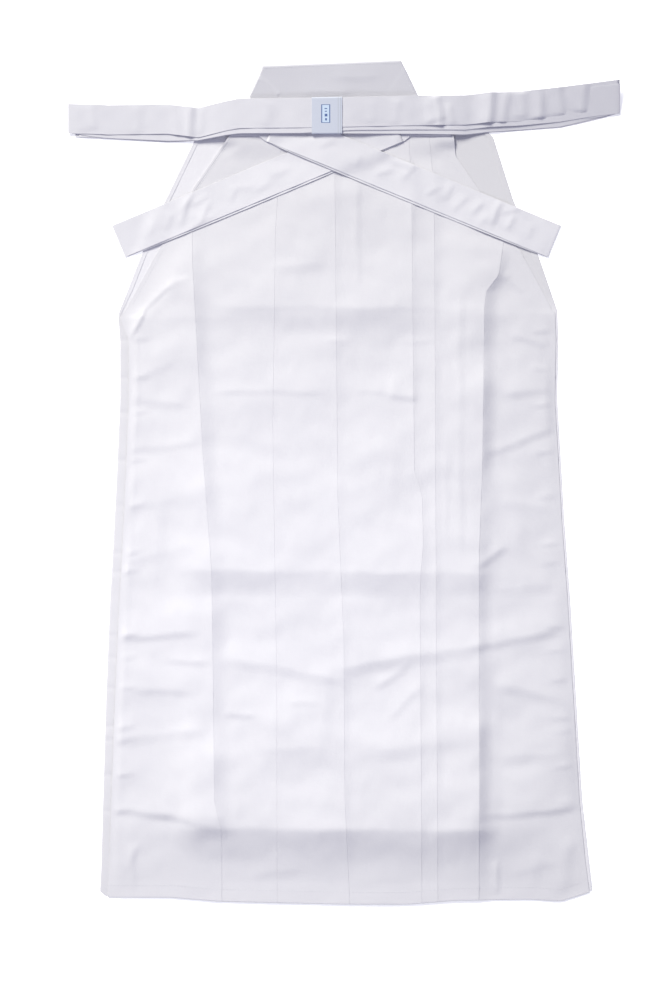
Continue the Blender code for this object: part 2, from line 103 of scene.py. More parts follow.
def weave_group():
    """Plain weave with slubs. Gives a height for a Bump node and a faint change of colour."""
    tree = bpy.data.node_groups.new("plain_weave", "ShaderNodeTree")
    add_sockets(tree, "INPUT", "Float", ("Thread", "Slub"))
    add_sockets(tree, "OUTPUT", "Float", ("Height", "Shade"))
    inp = tree.nodes.new("NodeGroupInput")
    cut = tree.nodes.new("ShaderNodeTexCoord").outputs["UV"]
    sep = add_node(tree, "ShaderNodeSeparateXYZ", {0: cut})
    waves, turns = [], []
    for axis in (0, 1):
        count = calc(tree, "DIVIDE", sep.outputs[axis], inp.outputs["Thread"])
        wave = calc(tree, "SINE", calc(tree, "MULTIPLY", count, math.pi))
        waves.append(calc(tree, "ABSOLUTE", wave))
        turns.append(calc(tree, "FLOOR", count))
    odd = calc(tree, "ABSOLUTE", calc(tree, "MODULO", calc(tree, "ADD", *turns), 2.0))
    over = calc(tree, "MULTIPLY", waves[0], odd)
    under = calc(tree, "MULTIPLY", waves[1], calc(tree, "SUBTRACT", 1.0, odd))
    # slubs are 25 times as long as they are wide, along either thread
    slubs = []
    for stretch in ((1500.0, 60.0, 1.0), (60.0, 1500.0, 1.0)):
        place = add_node(tree, "ShaderNodeMapping", {"Vector": cut, "Scale": stretch}).outputs[0]
        noise = add_node(tree, "ShaderNodeTexNoise", {"Vector": place, "Scale": 1.0, "Detail": 2.0})
        slubs.append(noise.outputs["Fac"])
    uneven = calc(tree, "ADD", *slubs)
    thick = calc(tree, "MULTIPLY", uneven, inp.outputs["Slub"])
    height = calc(tree, "ADD", calc(tree, "ADD", over, under), thick)
    add_node(tree, "NodeGroupOutput", {"Height": height, "Shade": calc(tree, "MULTIPLY", uneven, 0.5)})
    return tree


WEAVE = weave_group()


def woven(tree, thread, slub):
    """Outputs of the weave, with its threads this far apart, in metres, and its slubs this high."""
    return add_node(tree, "ShaderNodeGroup", {"Thread": thread, "Slub": slub}, node_tree=WEAVE).outputs


def new_finish(name):
    mat = bpy.data.materials.new(name)
    mat.use_nodes = True
    return mat, mat.node_tree


def dress_skin(tree, colour, height, strength, distance, roughness, specular):
    """Colour, raised threads and gloss of a finish, on its Principled shader."""
    skin = tree.nodes["Principled BSDF"]
    skin.inputs["Roughness"].default_value = roughness
    skin.inputs["Specular IOR Level"].default_value = specular
    tree.links.new(colour, skin.inputs["Base Color"])
    bump = add_node(tree, "ShaderNodeBump", {"Height": height, "Strength": strength, "Distance": distance})
    tree.links.new(bump.outputs["Normal"], skin.inputs["Normal"])


def cotton(name, colour, thread=0.00055, slub=0.5, depth=0.00009):
    """Matt plain-woven cotton. The base colour varies by about one part in fifty along threads."""
    mat, tree = new_finish(name)
    weave = woven(tree, thread, slub)
    place = tree.nodes.new("ShaderNodeTexCoord").outputs["Object"]
    cloudy = add_node(tree, "ShaderNodeTexNoise", {"Vector": place, "Scale": 14.0, "Detail": 3.0})
    both = calc(tree, "MULTIPLY_ADD", cloudy.outputs["Fac"], 0.45, weave["Shade"])
    ramp = add_node(tree, "ShaderNodeValToRGB", {"Fac": both})
    for stop, position, share in zip(ramp.color_ramp.elements, (0.35, 0.95), (0.975, 1.012)):
        stop.position = position
        stop.color = (*[min(1, c * share) for c in colour], 1)
    dress_skin(tree, ramp.outputs["Color"], weave["Height"], strength=0.55, distance=depth,
               roughness=0.92, specular=0.25)
    return mat


VENT_FOOT = (0.195, 0.225)     # the vents open between these heights, in metres


def back_cotton(name, outside, painted_vent_share):
    """Cotton of a back panel whose colour is scaled in the vent: painted light where the share is above
    one, painted shade where it is below.
    """
    mat = cotton(name, outside)
    tree = mat.node_tree
    along = add_node(tree, "ShaderNodeSeparateXYZ", {0: tree.nodes["Texture Coordinate"].outputs["Object"]})
    # painted light and shade in the vent: above its foot the colour is scaled by the share
    share = add_node(tree, "ShaderNodeMapRange", {
        "Value": along.outputs[1], "From Min": VENT_FOOT[0], "From Max": VENT_FOOT[1],
        "To Min": 1.0, "To Max": painted_vent_share})
    ramp = tree.nodes["Color Ramp"].outputs["Color"]
    painted_vent_light = add_node(tree, "ShaderNodeHueSaturation", {"Value": share.outputs[0], "Color": ramp})
    tree.links.new(painted_vent_light.outputs["Color"], tree.nodes["Principled BSDF"].inputs["Base Color"])
    return mat


# Both back panels are one white cotton. The left is painted a little darker, as painted shade, with painted
# light in its vent; the right is painted a little lighter, as painted light, with painted shade in its
# vent.
LEFT_BACK_PAINTED_LIGHT_AND_SHADE = back_cotton("left_back_cotton_painted_light_and_shade", (0.705, 0.699, 0.741), 1.14)
RIGHT_BACK_PAINTED_LIGHT_AND_SHADE = back_cotton("right_back_cotton_painted_light_and_shade", (0.786, 0.780, 0.827), 0.855)


def add_piece(name, mesh, node=None):
    """A finished mesh as a smooth piece, which stands for its node where it has one."""
    mesh.polygons.foreach_set("use_smooth", np.ones(len(mesh.polygons), dtype=bool))
    ob = bpy.data.objects.new(name, mesh)
    bpy.context.scene.collection.objects.link(ob)
    if node:
        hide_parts(node)
    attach(ob, "root")
    return ob


def add_cut(mesh, places):
    """The real cut as the UV map: a place in metres for each vertex."""
    layer = mesh.uv_layers.new(name="cut")
    corners = np.zeros(len(mesh.loops), dtype=np.int32)
    mesh.loops.foreach_get("vertex_index", corners)
    layer.data.foreach_set("uv", places[corners].ravel())


def cloth_piece(name, points, wall, mat, node):
    """A grid of points in rows, walled by Solidify, with its real cut as the UV map."""
    grid = np.asarray(points, dtype=float)
    rows, cols = grid.shape[:2]
    a = (np.arange(rows - 1)[:, None] * cols + np.arange(cols - 1)[None, :]).ravel()
    faces = np.stack([a, a + 1, a + cols + 1, a + cols], axis=1)
    mesh = bpy.data.meshes.new(name)
    mesh.from_pydata((grid.reshape(-1, 3) * 0.001).tolist(), [], faces.tolist())
    mesh.update()
    across = np.zeros((rows, cols))
    across[:, 1:] = np.cumsum(np.linalg.norm(np.diff(grid, axis=1), axis=2), axis=1)
    across -= across[:, cols // 2][:, None]
    along = np.zeros((rows, cols))
    along[1:, :] = np.cumsum(np.linalg.norm(np.diff(grid, axis=0), axis=2), axis=0)
    add_cut(mesh, np.stack([across.ravel(), along.ravel()], axis=1) * 0.001)
    mesh.materials.append(mat)
    ob = add_piece(name, mesh, node)
    thick = ob.modifiers.new("thickness", "SOLIDIFY")
    thick.thickness = wall * 0.001
    thick.offset = 0.0
    return ob


def knots_to_row(knots):
    """Row of (x, level) pairs from knots (x, level, how many steps to the next one)."""
    xs, levels = [], []
    for k in range(len(knots) - 1):
        x0, l0, n = knots[k]
        x1, l1 = knots[k + 1][:2]
        t = np.arange(n) / n
        xs.append(x0 + (x1 - x0) * t)
        levels.append(l0 + (l1 - l0) * t)
    xs.append([knots[-1][0]])
    levels.append([knots[-1][1]])
    return np.concatenate(xs), np.concatenate(levels)


def fold(x, level_from, level_to, side, longer=1.0, then=1):
    """Knots of a folded edge whose outermost line is at x; then is the steps to the next knot."""
    half = (level_to - level_from) / 2
    r = PLY * abs(half) * longer
    out = []
    for angle in (-90, -54, -18, 18, 54, 90):
        a = math.radians(angle)
        out.append((x - side * r * (1 - math.cos(a)), level_from + half * (1 + math.sin(a)), 1))
    out[-1] = (*out[-1][:2], then)
    return out


def askew(rows, y):
    """A fold that runs askew is cut longer by a level section: by how much."""
    slope = (between(rows, y + 8) - between(rows, y - 8)) / 16
    return min(1.6, math.sqrt(1 + slope * slope))


def back_panel(right):
    out = []
    for y in BACK_ROWS:
        if right:
            edge = between(OUTER_RIGHT, y) - CLOTH / 2
            strip = between(STRIP_RIGHT, y)
            knots = [(LAP_FROM, 2.0, 8), (LAP_FOLD + 1.5, 2.0, 2), (LAP_FOLD + 6.5, 0.0, 30)]
            knots += [(edge - 9.0, 0.0, 4), (edge - 2.0, 0.0, 1)]
            knots += fold(edge, 0.0, 1.0, 1, askew(OUTER_RIGHT, y), 4)
            knots += [(edge + CLOTH / 2 - strip + 0.3, 1.0, 1), (edge + CLOTH / 2 - strip, 1.0, 1)]
        else:
            edge = between(OUTER_LEFT, y) + CLOTH / 2
            strip = between(STRIP_LEFT, y)
            knots = [(edge - CLOTH / 2 + strip, 1.0, 1), (edge - CLOTH / 2 + strip - 0.3, 1.0, 6)]
            knots += fold(edge, 1.0, 0.0, -1, askew(OUTER_LEFT, y))
            knots += [(edge + 2.0, 0.0, 4), (edge + 9.0, 0.0, 30), (LAP_FOLD - 2.0, 0.0, 1)]
            knots += fold(LAP_FOLD, 0.0, 1.0, 1, then=8) + [(LAP_FROM, 1.0, 1)]
        x, level = knots_to_row(knots)
        # the rows gather at the hem, which isn't straight
        low = between(HEM_LINE, x) + 1.5
        high = np.maximum(y, low + (y - BACK_ROWS[0]) * 0.9)
        # the strip at the side seam rises and sinks a little along the garment
        ripple = 0.04 * np.sin(y / 5.0) + 0.04 * np.sin(y / 13.0 + 1.0)
        ripple -= 0.3 * sum(math.exp(-((y - place) / 2.6) ** 2) for place in SEAM_PUCKERS)
        z = CLOTH / 2 + level * (PLY + 0.12 + ripple * (level > 0.9))
        if not right:
            inner = ease((x - (edge + strip - 5.0)) / 3.0) * (level > 0.9) * (x < edge + strip)
            z = z - 0.16 * inner
        out.append(np.stack([x, high, z], axis=1))
    return out


back_left = cloth_piece("back_left_cloth", back_panel(False), CLOTH, LEFT_BACK_PAINTED_LIGHT_AND_SHADE,
                        "back_left")
back_right = cloth_piece("back_right_cloth", back_panel(True), CLOTH, RIGHT_BACK_PAINTED_LIGHT_AND_SHADE,
                         "back_right")

# Gussets. A strip of the same cotton in each leg, folded lengthwise between the front and the
# back, from where the legs part to the hem. They hardly show, except at the hem.
GUSSET_TOP = -56.0
GUSSET_FOOT = -496.0
GUSSET_SEAMS = {-1: -36.0, 1: 31.0}      # inner edge in each leg
GUSSET_WIDTHS = (14.0, 80.0)             # folded width at the top and at the foot
# painted light: the gussets' cotton is a lighter copy of the panel cotton
GUSSET_COTTON_PAINTED_LIGHT = cotton("back_cotton", (0.742, 0.736, 0.780))


def gusset(side):
    out = []
    for y in np.linspace(GUSSET_FOOT, GUSSET_TOP, 60):
        t = (y - GUSSET_TOP) / (GUSSET_FOOT + 2.0 - GUSSET_TOP)
        seam = GUSSET_SEAMS[side]
        edge = seam + side * (GUSSET_WIDTHS[0] + (GUSSET_WIDTHS[1] - GUSSET_WIDTHS[0]) * t)
        knots = [(seam, 2.0, 10)] + fold(edge, 2.0, 1.0, side, then=10) + [(seam, 1.0, 1)]
        x, level = knots_to_row(knots)
        out.append(np.stack([x, np.full_like(x, y), CLOTH / 2 + 0.15 + level * PLY], axis=1))
    return out


for side, node in ((-1, "gusset_left"), (1, "gusset_right")):
    strip = cloth_piece(node + "_cloth", gusset(side), CLOTH, GUSSET_COTTON_PAINTED_LIGHT, node)

# Front panels. Two leg panels of the same cotton, pleated to the waist in knife pleats whose folded
# edges all look to the right, the left panel lapping over the right one down the middle. The cloth
# keeps the creases it was folded up with, most of them across the garment.
FRONT_TOP = 431.0
WAIST_Z = 3.4          # where the waistband presses the pleats flat
FRONT_ROWS = np.concatenate([[-506.4, -506.0, -504.6, -502.6],
                             np.arange(-500.0, FRONT_TOP - 1, 3.1), [FRONT_TOP]])
PANEL_COTTON = cotton("panel_cotton", (0.715, 0.709, 0.755))
SEAM_LAP = 1.6         # by how much the front laps over the strip at the side seam
# Edges of the vents and of the pleats: y, x.
VENT_LEFT = [(203, -264.0), (264, -230.4), (343, -184.0), (350, -182.4), (412.8, -139.2),
             (431, -127.0)]
VENT_RIGHT = [(208, 249.0), (278.4, 211.2), (296, 190.0), (348, 159.0), (391, 130.0),
              (412.8, 128.0), (431, 119.0)]
PLEAT_OUTER_LEFT = [(-507, -146.4), (-417.6, -146.4), (-396, -152.0), (-381.6, -154.8),
                    (-189.6, -157.2), (-105.6, -158.4), (38.4, -169.2), (194, -177.6),
                    (264, -181.5), (320, -182.0), (343, -180.5), (350, -179.0),
                    (412.8, -135.8), (431, -123.6)]
PLEAT_INNER_LEFT = [(-507, -80.0), (-240, -80.4), (62, -85.2), (300, -82.0), (431, -74.0)]
PLEAT_CENTRE = [(-507, 7.2), (-381.6, 1.2), (-189.6, 0.0), (-22, -7.2), (180, -9.0),
                (362, -10.8), (431, -10.8)]
PLEAT_FIRST_RIGHT = [(-507, 93.6), (-141.6, 91.2), (-110, 92.0), (-75, 95.0), (-20, 94.0),
                     (-2, 90.0), (12, 84.5), (350, 81.1), (431, 77.0)]
PLEAT_SECOND_RIGHT = [(-507, 112.8), (-141.6, 110.4), (182, 109.2), (350, 108.0), (431, 101.0)]
PLEAT_OUTER_RIGHT = [(-507, 162.0), (-81.6, 162.0), (8.4, 165.6), (170.4, 168.0), (208, 168.0),
                     (228, 170.5), (238, 178.0), (248, 185.5), (290.4, 192.0), (348, 163.2),
                     (391, 134.0), (412.8, 132.0), (431, 123.0)]
# How far the cloth stands off the back, from hem to waist.
PUFF = [(-507, 0.3), (-454, 1.6), (-418, 2.1), (-382, 2.2), (-320, 1.2), (-262, 1.2), (-190, 0.6),
        (-142, 1.1), (-106, 0.5), (-75, 1.1), (12, 1.5), (98, 1.1), (150, 1.3), (204, 0.6),
        (243, 1.0), (343, 0.8), (400, 0.0)]
# Creases: start x, y; end x, y; height of the crest, or depth of the valley where it is negative;
# reach on the left of its way; reach on the right; share of its length over which each end fades.
CREASES = [
    (-100, 256, -10, 264, 1.0, 24, 16, 0.3),
    (-196, 212, 120, 209, 2.8, 80, 36, 0.2),
    (-40, 209, 190, 208, 1.3, 60, 30, 0.25),
    (-26, 169, 10, 169, 0.4, 4, 4, 0.3),
    (62, 169, 112, 169, 0.4, 4, 4, 0.3),
    (-164, 109, -12, 109, 0.6, 10, 6, 0.2),
    (10, 110, 56, 107, 0.6, 9, 6, 0.3),
    (46, 106, 92, 100, 1.0, 14, 8, 0.3),
    (-272, 38, -168, 50, 0.8, 26, 9, 0.2),
    (160, 32, 262, 70, 1.0, 28, 10, 0.2),
    (-272, -96, -174, -74, 1.0, 26, 16, 0.2),
    (-214, -105, 190, -109, 4.3, 95, 34, 0.1),
    (-280, -108, -256, -108, 1.2, 8, 6, 0.2),
    (154, -104, 198, -74, 1.6, 14, 10, 0.3),
    (-290, -188, -164, -177, 1.2, 34, 9, 0.2),
    (140, -198, 262, -177, 1.4, 24, 11, 0.2),
    (-20, -224, 180, -192, 1.9, 44, 17, 0.18),
    (-154, -208, 16, -239, 1.3, 22, 14, 0.25),
    (-222, -212, -154, -217, 0.9, 14, 8, 0.3),
    (-262, -248, -166, -250, 0.8, 16, 10, 0.3),
    (-70, -264, -24, -264, 0.7, 10, 8, 0.3),
    (-148, -278, -102, -278, 0.8, 10, 8, 0.3),
    (-292, -308, -160, -296, 1.1, 26, 14, 0.2),
    (-120, -319, 6, -319, 1.8, 50, 28, 0.3),
    (30, -322, 140, -312, 0.9, 24, 18, 0.3),
    (-300, -391, -196, -399, 1.1, 50, 9, 0.2),
    (-232, -395, -140, -414, 0.8, 40, 9, 0.3),
    (160, -400, 304, -387, 1.3, 55, 9, 0.15),
    (-214, -414, 192, -418, 4.4, 90, 44, 0.1),
    (-252, -500, -256, -432, 1.6, 12, 6, 0.3),
    (-262, -470, -246, -430, 0.8, 9, 6, 0.3),
    (262, -500, 271, -420, 2.2, 16, 9, 0.3),
    (224, -500, 236, -440, 1.0, 12, 9, 0.3),
    (186, -500, 180, -450, 1.4, 9, 7, 0.3),
    (196, -470, 262, -452, 0.9, 14, 10, 0.3),
    (-120, -470, -40, -462, 0.8, 16, 12, 0.3),
    (-10, -480, 90, -474, 0.8, 16, 12, 0.3),
    (-186, 246, -214, 232, 0.8, 8, 4, 0.15),
    (-226, 221, -196, 245, 1.0, 9, 5, 0.15),
    (-243, 200, -222, 225, 1.3, 9, 5, 0.15),
    (-261, 167, -239, 206, 1.5, 10, 5, 0.15),
    (-262, 120, -196, 150, 0.8, 16, 12, 0.3),
    (190, 250, 220, 226, 0.9, 9, 6, 0.2),
    (216, 230, 240, 202, 0.9, 9, 6, 0.2),
    (236, 206, 252, 178, 0.9, 9, 6, 0.2),
    (196, 176, 252, 164, 0.8, 12, 8, 0.25),
    (139, -100, 139, 246, 0.55, 8, 5, 0.1),
    (120, -80, 124, 60, 0.35, 7, 5, 0.3),
    (16, 226, 16, 366, 0.6, 8, 6, 0.15),
    (-26, -320, -18, -180, 0.5, 16, 14, 0.3),
    (48, -90, 60, 60, 0.4, 18, 16, 0.3),
    (-230, -160, -222, -20, 0.5, 18, 16, 0.3),
    (214, -150, 206, 10, 0.5, 18, 16, 0.3),
    (-150, 60, -60, 40, 0.6, 30, 20, 0.3),
    (30, -250, 84, -212, 0.9, 14, 10, 0.3),
    (44, -290, 96, -240, 0.8, 14, 10, 0.3),
    (176, -240, 268, -262, 1.0, 24, 14, 0.25),
    (170, -130, 262, -120, 1.0, 26, 16, 0.25),
    (176, -330, 280, -322, 0.8, 22, 16, 0.3),
    (-270, -30, -190, -16, 0.7, 22, 14, 0.3),
    (-266, 104, -180, 92, 0.9, 20, 12, 0.25),
    (186, 108, 258, 112, 0.8, 18, 10, 0.25),
    (180, -20, 262, -34, 0.7, 22, 14, 0.3),
]
# From each pucker of a side seam a short crease runs into the front.
for outer, x0, y0, x1, y1, height in ((OUTER_LEFT, 6, -2, 40, 3, 0.6), (OUTER_RIGHT, -36, 9, -3, 12, 0.5)):
    for y in SEAM_PUCKERS:
        x = float(between(outer, y))
        CREASES.append((x + x0, y + y0, x + x1, y + y1, height, 6, 4, 0.4))
# The ridge that each folded edge has made in the layers under it: the edge; its height from hem to
# waist; reach on the left; reach on the right; where its unevenness starts.
RIDGES = [
    (PLEAT_OUTER_LEFT, [(-507, 0.4), (-430, 0.6), (-400, 3.0), (200, 3.6), (330, 1.2)], 70.0, 21.0, 1.0),
    (PLEAT_INNER_LEFT, [(-507, 0.12), (431, 0.12)], 10.0, 8.0, 2.0),
    (PLEAT_CENTRE, [(-507, 0.4), (-380, 0.9), (-190, 0.8), (0, 0.5), (250, 0.5)], 20.0, 10.0, 3.0),
    (PLEAT_FIRST_RIGHT, [(-507, 0.7), (-190, 0.9), (350, 0.9)], 18.0, 10.0, 4.0),
    (PLEAT_SECOND_RIGHT, [(-507, 0.6), (-190, 0.7), (350, 0.7)], 14.0, 9.0, 5.0),
    (PLEAT_OUTER_RIGHT, [(-507, 2.6), (-430, 3.2), (-400, 4.4), (-310, 4.4), (-280, 3.2), (-200, 3.0),
                         (-130, 2.4), (0, 2.6), (60, 4.2), (170, 4.8), (230, 3.0), (330, 0.8)],
     80.0, 18.0, 6.0),
]


def relief(rows, x, y):
    """Height of a table of creases at points x, y: a crest with one side steeper than the other."""
    total = np.zeros_like(x)
    for k, (x0, y0, x1, y1, height, left, right, ends) in enumerate(rows):
        length = math.hypot(x1 - x0, y1 - y0)
        dx, dy = (x1 - x0) / length, (y1 - y0) / length
        u = ((x - x0) * dx + (y - y0) * dy) / length
        v = (x - x0) * dy - (y - y0) * dx
        v = v + 0.9 * np.sin(u * length / 21.0 + k) + 0.5 * np.sin(u * length / 8.3 + 2.1 * k)
        far = np.sqrt(v * v + 0.8) - 0.894
        rolled = 0.3 * np.exp(-4 * far / right) + 0.7 * (1 - ease(v / right))
        shape = np.where(v < 0, np.exp(-far / left), rolled)
        uneven = 1 + 0.2 * np.sin(u * length / 27.0 + 2.7 * k)
        total += height * uneven * shape * ease(u / ends) * ease((1 - u) / ends)
    return total


def unevenness(x, y):
    """Slow waves and a faint pucker that all pressed cotton has, and the ridges of the pleats."""
    total = np.zeros_like(x)
    for length, turn, start in ((210, 0.3, 0.0), (150, 1.9, 1.0), (118, 1.2, 4.0), (92, 2.6, 2.0),
                                (74, 0.8, 5.0), (61, 1.7, 3.0), (47, 2.2, 0.5), (38, 1.4, 1.6),
                                (29, 1.75, 2.7), (22, 0.2, 3.9)):
        way = x * math.cos(turn) + y * math.sin(turn)
        side = y * math.cos(turn) - x * math.sin(turn)
        wander = 1.4 * np.sin(side / length * 2.7 + start)
        total += 0.0021 * length * np.sin(2 * math.pi * way / length + start + wander)
    for rows, heights, left, right, seed in RIDGES:
        v = x - between(rows, y)
        uneven = 0.8 + 0.2 * np.sin(y / 31.0 + seed) + 0.15 * np.sin(y / 13.0 + 2 * seed)
        height = between(heights, y) * uneven
        t = np.clip(v / right, 0, 1)
        late = np.clip((t - 0.3) / 0.7, 0, 1)
        beyond = 1 - (np.minimum(t, 0.3) + 0.7 * (late - late * late / 2)) / 0.65
        total += height * np.where(v < 0, np.exp(np.minimum(v, 0) / left), beyond)
    return total


def side_left(y):
    if y <= 200.4:
        return float(between(OUTER_LEFT, y) + between(STRIP_LEFT, y) - SEAM_LAP)
    return float(between(VENT_LEFT, y))


def side_right(y):
    if y <= 205.0:
        return float(between(OUTER_RIGHT, y) - between(STRIP_RIGHT, y) + SEAM_LAP)
    return float(between(VENT_RIGHT, y))


def front_bed(x, y):
    """Height of the lowest layer of the front: on the back at the sides, on the gussets inside."""
    from_side = np.minimum(x - side_left(y), side_right(y) - x)
    rise_right = 1 - (1 - np.clip((side_right(y) - x) / 110, 0, 1)) ** 2
    rise = np.minimum(ease((x - side_left(y)) / 150), rise_right)
    # above the side seams there is no strip of the back to lie on
    on_strip = 0.95 - 0.45 * float(ease((y - 196) / 20))
    body = on_strip + (2.2 + between(PUFF, y)) * rise
    hem = float(ease((-410.0 - y) / 80.0))
    seam = (1 - ease((x - side_left(y)) / 16)) * float(ease((205 - y) / 60))
    body = body + 1.1 * seam * (1 - hem)
    body = body * (1 - hem) + (0.95 + 0.25 * rise) * hem
    # the waistband flattens the cloth, and the seams and vent edges hold it
    inside = ease((from_side - 6) / 20)
    waist = ease((y - 384) / 26) * inside + ease((y - 397) / 14) * (1 - inside)
    loose = ease(from_side / (12.0 + 34.0 * float(ease((y - 170) / 50)))) * (1 - waist)
    lift = relief(CREASES, x, np.full_like(x, y)) * (1 - 0.6 * hem)
    lift += (unevenness(x, np.full_like(x, y)) + 0.5) * (1 - 0.65 * hem)
    lift = np.maximum(lift, -0.55 * rise * (body - 1.0))
    return body * (1 - waist) + WAIST_Z * waist + lift * loose


def pleat(prev_edge, edge, depth, columns, press, longer=1.0):
    """Knots of one knife pleat: out from under the one before, up, out to the fold edge and back.

    press is how far the cloth beside the edge before is pressed up to it, in levels.
    """
    inner = edge - depth
    knots = [(prev_edge - 0.1, 0.0, 2), (prev_edge + 0.38, press, 1), (prev_edge + 0.55, press, 1)]
    knots += [(prev_edge + 1.5, press, columns[0]), (inner - 1.5 * longer - 1.0, 2.0, columns[1])]
    knots += [(edge - 0.8, 2.0, 1)]
    return knots + fold(edge, 2.0, 1.0, 1, longer, 3) + fold(inner, 1.0, 0.0, -1, longer, 4)


def pressed(y, least, most, seed):
    """How hard the cloth is pressed beside a fold edge at one height: it comes and goes."""
    wave = math.sin(y / 67.0 + seed) + 0.6 * math.sin(y / 29.0 + 2.3 * seed)
    wave += 0.3 * math.sin(y / 11.0 + seed)
    return least + (most - least) * (0.5 + wave / 3.8)


def front_left_knots(y):
    edge = side_left(y)
    outer = float(between(PLEAT_OUTER_LEFT, y))
    second = float(between(PLEAT_INNER_LEFT, y))
    centre = float(between(PLEAT_CENTRE, y))
    longer = askew(PLEAT_OUTER_LEFT, y)
    depth = min(30.0, (outer - edge) * 0.6 + 1.2)
    flat_from = max(edge + 0.6, outer - depth - 1.6)
    start_level = 2.0 * (1 - float(ease((flat_from - edge) / 25)))
    knots = [(edge, start_level, 1), (edge + 0.3, start_level, 33)]
    knots += [(flat_from, 2.0, 9), (outer - 0.8, 2.0, 1)] + fold(outer, 2.0, 1.0, 1, longer, 3)
    knots += fold(outer - depth, 1.0, 0.0, -1, longer, 6)
    knots += pleat(outer, second, 24.0, (17, 8), pressed(y, 1.2, 1.9, 1.0))
    knots += pleat(second, centre, 40.0, (14, 13), pressed(y, 1.9, 2.0, 2.0))[:12]
    knots[-1] = (*knots[-1][:2], 5)
    knots += [(centre - 40.0, 1.0, 1)]
    return knots


def front_right_knots(y):
    centre = float(between(PLEAT_CENTRE, y))
    first = float(between(PLEAT_FIRST_RIGHT, y))
    second = float(between(PLEAT_SECOND_RIGHT, y))
    outer = float(between(PLEAT_OUTER_RIGHT, y))
    edge = side_right(y)
    knots = [(centre - 40.0, 0.0, 8)]
    knots += pleat(centre, first, 24.0, (20, 8), pressed(y, 1.6, 1.9, 3.0))
    knots += pleat(first, second, min(24.0, second - first - 8.0), (4, 4), pressed(y, 1.5, 1.9, 4.0))
    knots += pleat(second, outer, min(30.0, (outer - second) * 0.5), (8, 8), pressed(y, 1.5, 1.9, 5.0),
                   askew(PLEAT_OUTER_RIGHT, y))
    shown = float(ease((edge - outer - 2.0) / 8.0))
    knots += [(min(outer - 0.1, edge - 1.6), 0.0, 2)]
    press = pressed(y, 1.1, 1.8, 6.0) * shown
    knots += [(min(outer + 0.38, edge - 1.0), press, 1), (min(outer + 0.55, edge - 0.9), press, 1)]
    knots += [(min(outer + 1.5, edge - 0.7), press, 15)]
    knots += [(min(outer + 30.0, edge - 0.5), 0.2 * shown, 16), (edge - 0.3, 0.0, 1), (edge, 0.0, 1)]
    return knots


def front_panel(knots_at):
    out = []
    for y in FRONT_ROWS:
        x, level = knots_to_row(knots_at(y))
        hem = between(HEM_LINE, x)
        place = np.maximum(y, hem + (y - FRONT_ROWS[0]) * 0.75)
        z = front_bed(x, y) + level * PLY
        turned = ease((-480.0 - y) / 4.0) * 0.1 * (level > 1.5)
        out.append(np.stack([x, place, z + turned], axis=1))
    return out


front_left = cloth_piece("front_left_cloth", front_panel(front_left_knots), CLOTH, PANEL_COTTON,
                         "front_left")
front_right = cloth_piece("front_right_cloth", front_panel(front_right_knots), CLOTH, PANEL_COTTON,
                          "front_right")

# Stitches. Rows of white thread hold the turned-up hem and the turned-in edges of the vents. They
# are short raised stitches that follow the cloth.
STITCH_PITCH = 4.2
STITCH_LENGTH = 2.6
THREAD_WIDTH = 0.42
HEM_DEPTH = 14.5       # from the hem up to its row of stitches
TURN_DEPTH = 5.0       # from the edge of a vent to its row


def thread_finish():
    """White twisted thread: slanting strands in the height, faint change of shade."""
    mat, tree = new_finish("sewing_thread")
    place = tree.nodes.new("ShaderNodeTexCoord").outputs["Object"]
    twist = add_node(tree, "ShaderNodeTexWave", {"Vector": place, "Scale": 900.0},
                     bands_direction="DIAGONAL")
    shade = add_node(tree, "ShaderNodeValToRGB", {"Fac": twist.outputs["Fac"]})
    shade.color_ramp.elements[0].color = (0.64, 0.64, 0.69, 1)
    shade.color_ramp.elements[1].color = (0.76, 0.76, 0.80, 1)
    dress_skin(tree, shade.outputs["Color"], twist.outputs["Fac"], strength=1.0, distance=0.00005,
               roughness=0.6, specular=0.5)
    return mat


SEWING_THREAD = thread_finish()


def stitch_tree():
    """A stitch on each point of a line that is divided evenly, turned the way the line goes."""
    tree = bpy.data.node_groups.new("stitches", "GeometryNodeTree")
    add_sockets(tree, "INPUT", "Geometry", ("Line",))
    add_sockets(tree, "INPUT", "Float", ("Pitch", "Length", "Width"))
    add_sockets(tree, "INPUT", "Material", ("Thread",))
    add_sockets(tree, "OUTPUT", "Geometry", ("Stitches",))
    inp = tree.nodes.new("NodeGroupInput").outputs
    curve = add_node(tree, "GeometryNodeMeshToCurve", {0: inp["Line"]})
    even = add_node(tree, "GeometryNodeResampleCurve", {"Curve": curve.outputs[0], "Length": inp["Pitch"]},
                    mode="LENGTH")
    way = tree.nodes.new("GeometryNodeInputTangent").outputs[0]
    turn = add_node(tree, "FunctionNodeAlignRotationToVector", {"Vector": way}, axis="X")
    ball = add_node(tree, "GeometryNodeMeshIcoSphere", {"Radius": 0.5, "Subdivisions": 2})
    size = add_node(tree, "ShaderNodeCombineXYZ", {0: inp["Length"], 1: inp["Width"], 2: inp["Width"]})
    put = add_node(tree, "GeometryNodeInstanceOnPoints", {
        "Points": even.outputs[0], "Instance": ball.outputs["Mesh"],
        "Rotation": turn.outputs[0], "Scale": size.outputs[0]})
    real = add_node(tree, "GeometryNodeRealizeInstances", {0: put.outputs[0]})
    dye = add_node(tree, "GeometryNodeSetMaterial",
                   {"Geometry": real.outputs[0], "Material": inp["Thread"]})
    add_node(tree, "NodeGroupOutput", {0: dye.outputs[0]})
    return tree


STITCHES = stitch_tree()


